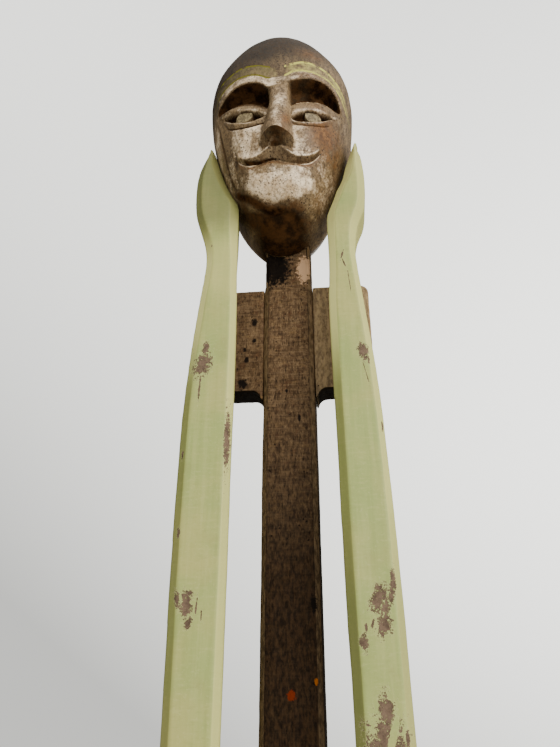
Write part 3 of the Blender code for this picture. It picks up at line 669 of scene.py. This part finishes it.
def carve_upper_lid(face):
    """A band that swells out over the eye."""
    x, z, left, top, low = face.x, face.z, face.left, face.lid_top, face.eye_top
    span = (step(x, -0.0665, -0.0600) * step(x, -0.0100, -0.0128)
            + step(x, 0.0105, 0.0135) * step(x, 0.0620, 0.0560))
    down = np.clip((top - z) / np.maximum(top - low, 1e-4), 0, 1)
    lid = span * (z <= top) * (z >= low)
    face.out += lid * (-0.0012 + 0.0040 * np.sin(down * 2.2) * 0.9)
    # painted shade on the upper part of the lid, below the hollow
    face.dark += [lid * left * (0.20 + 0.34 * step(x, -0.040, -0.016)) * step(down, 0.80, 0.30),
                  lid * np.where(left, 0.66, 0.20) * bell(down, np.where(left, 0.26, 0.50), 0.24)]
    face.pale.append(lid * (0.04 + 0.62 * bell(down, 0.94, 0.17)
                            + np.where(left, 0.0, 0.55) * bell(down, 0.0, 0.18)))


def carve_eyes(face):
    """Eyes cut deep beside a flat iris, with the lower lid and its crease. Returns the iris."""
    x, z, left, top, low, crease_z = (face.x, face.z, face.left, face.eye_top, face.eye_low,
                                      face.crease)
    span = (step(x, -0.0590, -0.0570) * step(x, -0.0118, -0.0132)
            + step(x, 0.0108, 0.0122) * step(x, 0.0545, 0.0530))
    eye = span * step(z, top + 0.0003, top - 0.0005) * step(z, low - 0.0003, low + 0.0005)
    iris_x, iris_z = np.where(left, -0.0352, 0.0340), np.where(left, 1.2736, 1.2688)
    half_x, half_z = np.where(left, 0.0094, 0.0086), np.where(left, 0.0072, 0.0070)
    reach = (np.abs((x - iris_x) / half_x) ** 2.4
             + np.abs((z - iris_z) / half_z) ** 2.4) ** (1 / 2.4)
    iris = step(reach, 1.04, 0.94)
    rim = bell(x, np.where(left, -0.0268, 0.0408), 0.0012) * eye * step(reach, 1.9, 1.5)
    face.out -= eye * (EYE_DEPTH * (1 - iris) * (1 - 0.55 * rim) + 0.0004 * iris)
    # lower lid
    face.out += (0.0010 * bell(z, (low + crease_z) * 0.5 + 0.0008, 0.0022) * (span > 0.02)
                 * step(np.abs(low - crease_z), 0.001, 0.003))
    crease = bell(z, crease_z, 0.00080) * (
        step(x, -0.0560, -0.0520) * step(x, -0.0130, -0.0160)
        + 0.6 * step(x, 0.0120, 0.0150) * step(x, 0.0520, 0.0480))
    face.out -= 0.0016 * crease

    # painted shade inside the cut eye, round the iris, under the upper lid and in the crease
    corner = np.where(left, step(x, -0.040, -0.046), 0.5)
    face.dark += [
        eye * (1 - iris) * (1 - 0.5 * rim) * (1 - 0.42 * step(z, low + 0.0052, low + 0.0016) * corner),
        bell(reach, 1.02, 0.10) * eye * 0.75,
        bell(z, top - 0.0004, 0.0006) * (span > 0.3) * 0.9,
        np.clip(crease * 1.25, 0, 1)]
    # painted highlight along the top of the lower lid
    face.pale.append(0.62 * bell(z, low - 0.0008, 0.0014) * (span > 0.3))
    return iris * eye


def carve_nose(face):
    """Broad rounded tip with a flat, shaded underside."""
    x, z = face.x, face.z
    across = x - FACE_X - 0.0036 * step(z, 1.245, 1.290)
    half = curve(z, NOSE_HALF)
    section = np.clip(1 - np.abs(across / half) ** 2.2, 0, 1)
    face.out += (curve(z, NOSE_RISE) * section
                 * np.clip((z - NOSE_FOOT) / (NOSE_RIM - NOSE_FOOT), 0, 1))
    # dip at the top of the nose
    face.out -= 0.0012 * bell(x, 0.0010, 0.006) * bell(z, 1.3060, 0.003)
    aside = np.abs(across)
    under = (z < NOSE_RIM) * (z > 1.2316) * step(aside, half, half - 0.002)
    # painted shade on the underside of the nose and at its foot
    face.dark += [under * (0.40 + 0.34 * bell(aside, 0.0, 0.0085)),
                  bell(z, 1.2316, 0.0010) * step(aside, half + 0.001, half - 0.003) * 0.45]
    # a pale ridge, and a painted highlight on the right edge of the nose tip
    face.pale += [0.64 * bell(across, -0.001, 0.0068) * (z > NOSE_RIM) * step(z, 1.308, 1.296),
                  0.55 * bell(across, 0.0150, 0.0022) * (z > NOSE_RIM) * step(z, 1.252, 1.247)]
    face.warm.append(0.80 * bell(across, 0.0085, 0.0040) * bell(z, 1.2520, 0.0120))


def carve_mouth(face):
    """The cheek runs to a wavy lip ridge, then falls back to the mouth line."""
    x, z, ridge, mouth = face.x, face.z, face.ridge, face.mouth
    span = step(x, -0.0445, -0.0410) * step(x, 0.0405, 0.0370)
    down = np.clip((ridge - z) / np.maximum(ridge - mouth, 1e-4), 0, 1)
    below = np.clip((mouth - z) / 0.0052, 0, 1)
    cheek = LIP_RISE * np.where(z > ridge, np.exp(-((z - ridge) / 0.0062) ** 2), 1.0) * span
    lip = np.where(z > ridge, cheek, (LIP_RISE - 0.0062 * down) * span)
    face.out += np.where(z < mouth, -0.0026 * (1 - smooth(below)) * span, lip)
    slit = bell(z, mouth + 0.0004, 0.0007) * span * (0.45 + 0.55 * step(x, -0.004, -0.012))
    face.out -= 0.0012 * slit
    pout = (bell(z, mouth - 0.0015, np.where(x < 0, 0.0013, 0.0009))
            * (step(x, -0.0200, -0.0270) + step(x, 0.0170, 0.0240)) * span)
    face.out += 0.0014 * pout
    # hollow beside the left corner of the mouth
    dimple = bell(x, -0.0448, 0.0013) * bell(z, 1.2330, 0.0075)
    face.out -= 0.0014 * dimple

    # painted shade on the downward lip face, in the mouth slit and in the dimple
    strength = np.where(x < -0.004, 1.0, 0.55) * step(x, -0.0385, -0.0330)
    face.dark += [(z < ridge - 0.0004) * (z > mouth) * span * (0.32 + 0.16 * down),
                  bell(z, mouth + 0.0008, np.where(x < -0.006, 0.0009, 0.0007)) * span * strength,
                  dimple * 0.6]
    # painted highlights along the lip ridge and on the lower lip
    face.pale += [0.80 * bell(z, ridge + 0.0010, 0.0012) * span, np.clip(1.5 * pout, 0, 1)]
    face.warm.append(0.85 * bell(z, mouth - 0.0030, 0.0022) * span)


def carve_cheeks(face):
    x, z = face.x, face.z
    face.out += 0.0022 * bell(face.aside, 0.034, 0.016) * bell(z, 1.2480, 0.0120)
    above_lip = step(z, face.ridge - 0.0002, face.ridge + 0.0006)
    left_cheek = (step(x, -0.0660, -0.0320) * step(x, -0.0150, -0.0190) * above_lip
                  * step(z, face.crease + 0.0005, face.crease - 0.0010))
    right_cheek = (step(x, 0.0115, 0.0150) * step(x, 0.0400, 0.0120) * above_lip
                   * step(z, 1.2580, 1.2530))
    face.pale += [0.92 * left_cheek * (1 - 0.5 * step(x, -0.044, -0.055)), 0.86 * right_cheek]


def carve_chin(face):
    """Lower lip and chin; the chin is cut off flat underneath."""
    x, z, aside, low = face.x, face.z, face.aside, face.chin_low
    face.out += 0.0012 * bell(aside, 0.004, 0.018) * bell(z, 1.2135, 0.0040)
    face.out += 0.0046 * step(aside, 0.0460, 0.0300) * bell(z, 1.2010, 0.0130)
    cut = (step(z, face.arch + 0.0006, face.arch - 0.0010) * step(aside, 0.058, 0.046)
           * step(z, 1.166, 1.172))
    face.out -= 0.0042 * cut

    # painted shade under the chin cut and along its lower edge, and painted shadow on the left jaw
    # beside the arm
    face.dark += [
        cut * 0.72,
        0.88 * bell(z, low - 0.0010, np.where(x < -0.004, 0.0040, 0.0026))
        * (step(x, 0.020, -0.004) * 0.75 + 0.25 * step(x, 0.030, 0.010)) * step(x, -0.056, -0.044),
        0.55 * step(x, -0.026, -0.038) * step(aside, 0.062, 0.052) * step(z, 1.222, 1.204)
        * step(z, 1.180, 1.190)]
    pale = (0.98 * step(z, low, low + 0.0070) * step(z, 1.2230, 1.2120)
            * step(x, -0.060, -0.022) * step(x, 0.054, 0.018))
    face.pale.append(pale * (1 - 0.30 * step(z, 1.2040, 1.2120))
                     * np.where(z > 1.2085, 1 - 0.60 * bell(x, -0.0120, 0.0120), 1.0))
    face.warm.append(0.50 * bell(aside, 0.0, 0.030) * bell(z, 1.1840, 0.0040))


def paint_lines(face):
    """Forehead lines: thin olive ones on the left, broader and paler on the right.

    Returns the lines, the wash between them and the olive share of the lines.
    """
    x, z, left, low, up = face.x, face.z, face.left, face.line_low, face.line_up
    out_x = np.abs(x)
    gap = step(np.abs(x + 0.0010), 0.0055, 0.0085)
    cut_up = bell(z, up, 0.0010) * step(out_x, 0.078, 0.064)
    cut_low = bell(z, low, 0.0010) * step(out_x, 0.074, 0.062)
    face.out -= 0.0006 * np.maximum(cut_up, cut_low) * gap

    width = np.where(left, 0.0013, 0.0019)
    reach = step(out_x, 0.080, 0.060)
    line = np.maximum(bell(z, up, width), bell(z, low, width)) * gap * reach
    line = line * np.where(left, 1.0, 0.85)
    between = step(z, low, low + 0.002) * step(z, up, up - 0.002) * reach
    wash = between * np.where(left, 0.16, 0.62 * step(x, 0.006, 0.016))
    # a short dark upright tick
    face.dark.append(bell(x, -0.0240, 0.0007) * step(z, 1.3190, 1.3205)
                     * step(z, 1.3300, 1.3285) * 0.7)
    above_brow = (step(z, face.brow + 0.0012, face.brow + 0.0021) * step(z, low, low - 0.001)
                  * step(out_x, 0.070, 0.058))
    face.pale.append(above_brow * np.where(left, 0.62, 0.46))
    face.warm.append(0.42 * above_brow * (x > 0.02))
    return line, wash, left * line


def scuff_sides(face):
    """Pale scuffs, a painted highlight on the right cheek beside the hand, and rusty patches away from
    the features.
    """
    x, z = face.x, face.z
    face.pale += [
        0.78 * step(x, -0.0590, -0.0680) * bell(z, 1.2600, 0.0400),
        # painted highlight on the right cheek, where the hand would shade it
        0.74 * bell(x, 0.0740, 0.0110) * bell(z, 1.2600, 0.0380),
        0.60 * step(x, 0.024, 0.042) * step(z, 1.184, 1.200) * step(z, 1.248, 1.222),
        0.50 * bell(x, 0.0330, 0.0080) * bell(z, 1.1860, 0.0080),
        0.46 * step(x, -0.040, -0.050) * step(z, 1.196, 1.204) * step(z, 1.250, 1.236)]
    face.warm += [
        0.95 * bell(x, 0.0440, 0.0180) * bell(z, 1.2560, 0.0240),
        0.60 * bell(x, 0.0340, 0.0110) * bell(z, 1.3570, 0.0080),
        0.34 * step(x, 0.022, 0.040) * step(z, 1.178, 1.196) * step(z, 1.240, 1.220)]


def relief(x, z):
    """Carving of the face: how far the wood stands out (m), and the colour masks by name."""
    face = SimpleNamespace(x=x, z=z, left=x < FACE_X, aside=np.abs(x - FACE_X),
                           out=np.zeros_like(x), dark=[], pale=[], warm=[],
                           **{name: curve(x, points) for name, points in FACE_LINES.items()})
    carve_edge(face)
    carve_hollows(face)
    carve_upper_lid(face)
    iris = carve_eyes(face)
    carve_nose(face)
    carve_mouth(face)
    carve_cheeks(face)
    carve_chin(face)
    line, wash, olive = paint_lines(face)
    scuff_sides(face)
    dark, pale, warm = [np.maximum.reduce(m) for m in (face.dark, face.pale, face.warm)]
    return face.out, {"shade_and_marks": dark, "pale": pale, "line": line, "warm": warm,
                      "iris": iris, "wash": wash, "olive": olive}


# ================================================================= head mesh
def head_scale(z):
    """Size of the section at height z, for the back and sides, and for the front."""
    above = z > HEAD_Z
    u = np.clip(np.abs((z - HEAD_Z) / np.where(above, CROWN, JAW)), 0, 1)
    up, back, front = [np.sqrt(np.clip(1 - u ** power, 0, None))
                       for power in (CROWN_POWER, JAW_POWER, JAW_POWER_FRONT)]
    return np.where(above, up, back), np.where(above, up, front)


def outline(angles, front_power):
    """Unit plan outline of the head: x, and y with the front negative."""
    c, s = np.cos(angles), np.sin(angles)
    power = np.where(s < 0, front_power, BACK_POWER)
    return np.sign(c) * np.abs(c) ** (2 / power), np.sign(s) * np.abs(s) ** (2 / power)


def spaced(values, u, v, spacing, count):
    """count samples of values along the path (u, v), set apart in proportion to spacing."""
    weights = np.hypot(np.gradient(u), np.gradient(v)) * (1 / spacing)
    run = np.concatenate([[0], np.cumsum((weights[1:] + weights[:-1]) * 0.5)])
    return np.interp(np.linspace(0, run[-1], count), run, values)


def row_heights():
    """Heights of the rows, finer over the face."""
    u = -np.cos(np.linspace(0, math.pi, 4001))
    z = HEAD_Z + np.where(u > 0, u * CROWN, u * JAW)
    spacing = np.zeros_like(z)
    for low, high, size in ROW_SPACING:
        spacing[(z > low) & (z <= high)] = size
    return spaced(z, z, FACE_DEPTH * head_scale(z)[1], spacing, ROWS + 2)[1:-1]


def column_angles():
    """Angles of the columns round the widest section, finer across the face."""
    back = -math.pi / 2
    angles = np.linspace(back - math.pi, back + math.pi, 8001)
    x, y = outline(angles, FRONT_POWER)
    x = HEAD_HALF * x
    spacing = np.where((y < 0) & (np.abs(x) < 0.076), 0.00085, np.where(y < 0, 0.0020, 0.0048))
    y = np.where(y < 0, FACE_DEPTH, BACK_DEPTH) * y
    return spaced(angles, x, y, spacing, COLUMNS + 1)[:-1]


def head_grid():
    """The plain head as a (rows, columns, 3) grid of points."""
    zs = row_heights()
    back, front = [scale[:, None] for scale in head_scale(zs)]
    power = FRONT_POWER + (TOP_POWER - FRONT_POWER) * smooth((zs - HEAD_Z + 0.012) / 0.055)
    across, deep = outline(column_angles(), power[:, None])
    x = HEAD_X + HEAD_HALF * back * across
    y = HEAD_Y + np.where(deep < 0, FACE_DEPTH * front * deep, BACK_DEPTH * back * deep)
    return np.stack([x, y, np.repeat(zs[:, None], COLUMNS, axis=1)], -1)


def unit(vectors, least=0.0):
    return vectors / (np.linalg.norm(vectors, axis=-1, keepdims=True) + least)


def outward(grid):
    """Unit directions pointing out of the grid's surface."""
    ring = np.concatenate([grid[:, -1:], grid, grid[:, :1]], axis=1)
    normal = unit(np.cross((ring[:, 2:] - ring[:, :-2]) * 0.5, np.gradient(grid, axis=0)), 1e-12)
    from_core = grid - np.array([HEAD_X, HEAD_Y, HEAD_Z - 0.03])
    return normal * np.sign(np.sum(normal * from_core, axis=-1, keepdims=True))


def head_faces():
    """Quads between the rows, then a fan to the foot and one to the top."""
    index = np.arange(ROWS * COLUMNS).reshape(ROWS, COLUMNS)
    ahead = np.roll(index, -1, 1)
    quads = np.stack([index[:-1], ahead[:-1], ahead[1:], index[1:]], -1).reshape(-1, 4)
    foot = np.full(COLUMNS, ROWS * COLUMNS)
    low = np.stack([foot, ahead[0], index[0]], -1)
    top = np.stack([foot + 1, index[-1], ahead[-1]], -1)
    return quads.tolist() + low.tolist() + top.tolist()


def cut_mortise(ob):
    """Square hole for the neck, cut up from below."""
    half = NECK / 2 + NECK_GAP
    corners = [(sx * half, sy * half, z)
               for z in (MORTISE_LOW, MORTISE_TOP) for sy in (-1, 1) for sx in (-1, 1)]
    hole = new_mesh("mortise_tool", corners, [(0, 2, 3, 1), (4, 5, 7, 6), (0, 1, 5, 4),
                                              (2, 6, 7, 3), (0, 4, 6, 2), (1, 3, 7, 5)])
    mod = ob.modifiers.new("mortise", "BOOLEAN")
    mod.operation, mod.solver, mod.object = "DIFFERENCE", "EXACT", hole
    apply_all(ob)
    bpy.data.objects.remove(hole)


def build_head():
    grid = head_grid()
    normal = outward(grid)
    shape = grid.shape[:2]
    flat = grid.reshape(-1, 3)
    x, y, z = flat.T
    out, masks = relief(x, z)
    front = smooth((-(y - HEAD_Y) / FACE_DEPTH - 0.10) / 0.30)
    # the carving is pushed forward, leaning a little to the sides
    push = unit(np.stack([normal[..., 0] * 0.45, -np.ones(shape), np.zeros(shape)], -1))
    carved = grid + push * (out * front).reshape(shape)[..., None]
    # hand-carved unevenness: broad lumps and small gouge facets
    lumps = fractal(flat, 26.0, 2, 3) * 0.0009 + fractal(flat, 95.0, 2, 8) * 0.00030
    fine = fractal(flat, 420.0, 2, 21) * 0.00012
    carved = carved + normal * (lumps + fine).reshape(shape)[..., None]
    ends = [[HEAD_X, HEAD_Y, HEAD_Z - JAW], [HEAD_X, HEAD_Y, HEAD_Z + CROWN]]
    ob = new_mesh("carved_head", np.vstack([carved.reshape(-1, 3), ends]).tolist(), head_faces())

    masks = {name: values * front for name, values in masks.items()}
    # painted shade under the jaw, and painted shadow low on both sides of it where the arms come close
    under = step(-normal[..., 2].ravel(), 0.50, 0.85) * step(z, 1.200, 1.180)
    jaw_side_shadow = step(np.abs(x - HEAD_X), 0.036, 0.042) * step(z, 1.200, 1.190) * (y < 0.03)
    masks["shade_and_marks"] = np.maximum.reduce([masks["shade_and_marks"], 0.80 * under, 0.96 * jaw_side_shadow])
    end_values = {"shade_and_marks": (0.6, 0.2), "warm": (0.3, 0.1)}  # at the foot and the top
    for name, values in masks.items():
        values = np.concatenate([values, end_values.get(name, (0, 0))])
        attribute = ob.data.attributes.new(name, "FLOAT", "POINT")
        attribute.data.foreach_set("value", np.clip(values, 0, 1).astype(np.float32))
    cut_mortise(ob)
    ob.data.shade_smooth()
    ob.data.set_sharp_from_angle(angle=math.radians(70))
    return ob


head_mat = head_wood()
head_ob = build_head()
head_ob.data.materials.append(head_mat)
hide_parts("head")
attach(head_ob, "head")

# ============================================================ timber and arms
ORANGE, OCHRE, BLACK = (92, 34, 16), (128, 74, 34), (12, 8, 6)
# painted shadow of the head and a painted lit patch, used for the neck spots below
HEAD_SHADOW_ON_NECK, NECK_LIGHT_PATCH = (2, 1, 1), (178, 152, 130)
# Spots: x, z, x radius, z radius, colour.
POST_SPOTS = (
    # the first two spots are painted light: the head's shadow on the left of the neck, and a lit patch
    # on its right
    (-0.0130, 1.1520, 0.0185, 0.0260, HEAD_SHADOW_ON_NECK), (0.0170, 1.1480, 0.0085, 0.0180, NECK_LIGHT_PATCH),
    (0.0006, 0.7680, 0.0036, 0.0040, ORANGE), (0.0189, 0.7770, 0.0016, 0.0030, OCHRE),
    (0.0181, 0.8290, 0.0030, 0.0080, BLACK), (-0.0020, 1.0120, 0.0012, 0.0016, BLACK),
    (0.0095, 0.9850, 0.0014, 0.0030, BLACK))
BLOCK_SPOTS = (
    (-0.0340, 1.0900, 0.0034, 0.0046, BLACK), (-0.0335, 1.0690, 0.0022, 0.0028, BLACK),
    (-0.0430, 1.0590, 0.0016, 0.0026, BLACK), (-0.0410, 1.0480, 0.0024, 0.0040, BLACK),
    (-0.0440, 1.0230, 0.0050, 0.0060, BLACK))
# Chips and islands: x, z, x radius, z radius, tilt.
LEFT_CHIPS = (
    (-0.0712, 1.0215, 0.0072, 0.0125, 0.25), (-0.0692, 1.0370, 0.0028, 0.0075, 0.10),
    (-0.0726, 1.0020, 0.0009, 0.0150, 0.03), (-0.0474, 0.9520, 0.0021, 0.0260, 0.0),
    (-0.0719, 0.8280, 0.0046, 0.0090, 0.10), (-0.0788, 0.8310, 0.0022, 0.0060, -0.2),
    (-0.0690, 0.8150, 0.0024, 0.0044, 0.3), (-0.0640, 0.8260, 0.0006, 0.0060, 0.05),
    (-0.0600, 0.8200, 0.0005, 0.0040, 0.0), (-0.0815, 0.8780, 0.0014, 0.0040, 0.0),
    (-0.0838, 0.9400, 0.0009, 0.0040, 0.0), (-0.0700, 1.1500, 0.0007, 0.0016, 0.0),
    (-0.0600, 0.7100, 0.0060, 0.0100, 0.2))
RIGHT_CHIPS = (
    (0.0545, 1.1290, 0.0008, 0.0060, 0.25), (0.0560, 1.1210, 0.0007, 0.0050, -0.30),
    (0.0600, 1.1000, 0.0004, 0.0120, -0.08), (0.0676, 1.0270, 0.0042, 0.0084, -0.10),
    (0.0658, 1.0330, 0.0014, 0.0042, 0.0), (0.0720, 1.0180, 0.0009, 0.0036, 0.0),
    (0.0690, 1.0060, 0.0004, 0.0120, -0.20), (0.0668, 0.8330, 0.0054, 0.0080, 0.25),
    (0.0640, 0.8260, 0.0044, 0.0060, 0.10), (0.0700, 0.8240, 0.0040, 0.0054, 0.0),
    (0.0682, 0.8130, 0.0056, 0.0066, 0.15), (0.0766, 0.8400, 0.0022, 0.0110, 0.10),
    (0.0745, 0.8300, 0.0018, 0.0040, 0.0), (0.0543, 0.8030, 0.0028, 0.0058, 0.0),
    (0.0560, 0.8120, 0.0009, 0.0028, 0.0), (0.0610, 0.8150, 0.0009, 0.0044, 0.3),
    (0.0660, 0.7620, 0.0050, 0.0110, 0.00), (0.0646, 0.7420, 0.0125, 0.0180, 0.0),
    (0.0780, 0.7470, 0.0014, 0.0060, 0.0), (0.0790, 0.9600, 0.0007, 0.0050, 0.0),
    (0.0600, 0.7000, 0.0050, 0.0080, 0.0))
RIGHT_ISLANDS = ((0.0688, 0.7480, 0.0026, 0.0110, 0.30),)
UPPER_CHIPS = (
    (-0.0640, 0.8600, 0.0050, 0.0150, 0.1), (0.0640, 0.7900, 0.0040, 0.0110, -0.1),
    (-0.0640, 0.7200, 0.0030, 0.0060, 0.1), (0.0640, 0.9400, 0.0030, 0.0070, 0.1))

post_mat = dark_wood("post_timber", "z", darken=1.06, spots=POST_SPOTS, chamfers=0.65, seam=0.0199)
block_mat = dark_wood("block_timber", "z", darken=1.08, spots=BLOCK_SPOTS, right_lift=0.6)
base_mat = dark_wood("base_timber", "y")
batten_mat = dark_wood("batten_timber", "y", darken=0.9)
cleat_mat = dark_wood("cleat_timber", "x", darken=0.95)
green_left = green_paint("green_paint_left", LEFT_CHIPS, hand_shade=0.60)
green_right = green_paint("green_paint_right", RIGHT_CHIPS, RIGHT_ISLANDS, hand_shade=0.14)
green_upper = green_paint("green_paint_upper", UPPER_CHIPS)
peg_mat = peg_wood()
steel_mat = steel()

# Unevenness: grain axis ("" for none), cycles per metre, height in metres, seed.
PLANED = (("", 16.0, 0.00045, 5), ("", 60.0, 0.00016, 9), ("z", 210.0, 0.00008, 12))


def sawn(axis):
    return (("", 14.0, 0.0005, 4), (axis, 150.0, 0.00030, 7), ("", 260.0, 0.00018, 2),
            (axis, 420.0, 0.00016, 31))


def refine(node, name, voxel, relax, wear, material):
    """A fine, slightly worn version of a CAD piece: remeshed, eased and made uneven."""
    me = nodes[node].data.copy()
    ob = bpy.data.objects.new(name, me)
    bpy.context.scene.collection.objects.link(ob)
    me.materials.clear()
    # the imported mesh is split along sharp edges, so it is welded shut first
    bm = bmesh.new()
    bm.from_mesh(me)
    bmesh.ops.remove_doubles(bm, verts=bm.verts[:], dist=1e-6)
    bm.to_mesh(me)
    bm.free()
    remesh = ob.modifiers.new("remesh", "REMESH")
    remesh.mode = "VOXEL"
    remesh.voxel_size = voxel
    ease = ob.modifiers.new("relax", "SMOOTH")
    ease.factor = 0.5
    ease.iterations = relax
    apply_all(ob)
    me = ob.data
    points = read_vectors(me, "co")
    push = sum(fractal(points * [0.05 if a == axis else 1.0 for a in "xyz"], scale, 2, seed) * amp
               for axis, scale, amp, seed in wear)
    points = points + read_vectors(me, "normal") * push[:, None]
    me.vertices.foreach_set("co", points.astype(np.float32).ravel())
    me.update()
    me.shade_smooth()
    me.materials.append(material)
    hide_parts(node)
    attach(ob, body_of[node])


# CAD piece, object name, voxel size, relaxing passes, unevenness, left and right materials
PAIRS_ABOVE = (
    ("forearm", "painted_forearm", 0.00118, 2, PLANED, (green_left, green_right)),
    ("upper_arm", "painted_upper_arm", 0.0014, 2, PLANED, (green_upper, green_upper)))
BLOCKS = (("shoulder_block", "timber_block", 0.0011, 2, sawn("z"), (block_mat, block_mat)),)
PAIRS_BELOW = (
    ("base_batten", "timber_batten", 0.0022, 2, sawn("y"), (batten_mat, batten_mat)),
    ("foot_cleat", "timber_cleat", 0.0012, 2, sawn("x"), (cleat_mat, cleat_mat)))
coarser = 1.0


def refine_pairs(rows):
    for node, name, voxel, relax, wear, materials in rows:
        for side, material in zip(("_left", "_right"), materials):
            refine(node + side, name + side, voxel * coarser, relax, wear, material)


refine_pairs(PAIRS_ABOVE)
refine("body_post", "timber_post", 0.0018 * coarser, 1, sawn("z"), post_mat)
refine_pairs(BLOCKS)
refine("base_board", "timber_base_board", 0.0026 * coarser, 2, sawn("y"), base_mat)
refine_pairs(PAIRS_BELOW)

# the CAD pieces still on show are screws and pegs
for name, ob in nodes.items():
    if ob.hide_render:
        continue
    ob.data.materials.clear()
    ob.data.materials.append(steel_mat if slot_of[name] == "screw_steel" else peg_mat)

# ===================================================================== stage
FLOOR_HALF = 4
floor_mat = floor_paint()
floor = new_mesh("floor", [(sx * FLOOR_HALF, sy * FLOOR_HALF, 0)
                           for sx, sy in ((-1, -1), (1, -1), (1, 1), (-1, 1))], [(0, 1, 2, 3)])
floor.data.materials.append(floor_mat)


def build_world():
    world = bpy.data.worlds.new("world")
    bpy.context.scene.world = world
    world.use_nodes = True
    world.node_tree.nodes.clear()
    g = Graph(world.node_tree)
    direction = g.node("TexCoord", output="Generated")
    # soft room light: strongest from the front right and above, weakest from the far side
    toward = g.node("VectorMath", {0: direction, 1: (0.54, -0.80, 0.26)}, output="Value",
                    operation="DOT_PRODUCT")
    power = g.node("MapRange", {0: toward, 1: -0.27, 2: 1.0, 3: 0.09, 4: 1.72})
    lit = g.node("Background", {"Color": (1.0, 0.985, 0.95, 1.0), "Strength": power})
    # the pale backdrop seen by the camera: brightest at mid height, more so on the right
    x, _, z = g.split(direction)
    off = z - 0.5
    tip = g.math("SUBTRACT", 1.0, z * z * 1.4, clamp=True) * 2.6
    glow = 3.0 - off * off * 3.1 + x * tip
    glow = g.minimum(g.maximum(glow, 1.1), 5.0)
    seen = g.node("Background", {"Color": (0.735, 0.735, 0.700, 1.0), "Strength": glow})
    camera_ray = g.node("LightPath", output="Is Camera Ray")
    both = g.node("MixShader", {0: camera_ray, 1: lit, 2: seen})
    g.put(g.tree.nodes.new("ShaderNodeOutputWorld").inputs[0], both)


def area(name, at, target, power, colour):
    data = bpy.data.lights.new(name, "AREA")
    data.shape = "DISK"
    data.size = 2.0
    data.energy = power
    data.color = colour
    ob = bpy.data.objects.new(name, data)
    bpy.context.scene.collection.objects.link(ob)
    ob.location = at
    ob.rotation_euler = (Vector(target) - Vector(at)).to_track_quat("-Z", "Y").to_euler()


def add_camera():
    """Close in front of the figure, low and tilted up."""
    data = bpy.data.cameras.new("camera")
    data.lens = 27.0
    data.clip_start = 0.02
    camera = bpy.data.objects.new("camera", data)
    bpy.context.scene.collection.objects.link(camera)
    camera.location = (0.0413, -0.4932, 0.800)
    camera.rotation_euler = (math.radians(116.0), 0.0, math.radians(6.0))
    bpy.context.scene.camera = camera


build_world()
area("key", at=(2.1, -2.7, 2.0), target=(0.0, 0.0, 1.15), power=100, colour=(1.0, 0.985, 0.95))
area("rear", at=(0.1, 3.4, 2.6), target=(0.0, 0.0, 0.9), power=26, colour=(0.96, 0.98, 1.0))
add_camera()
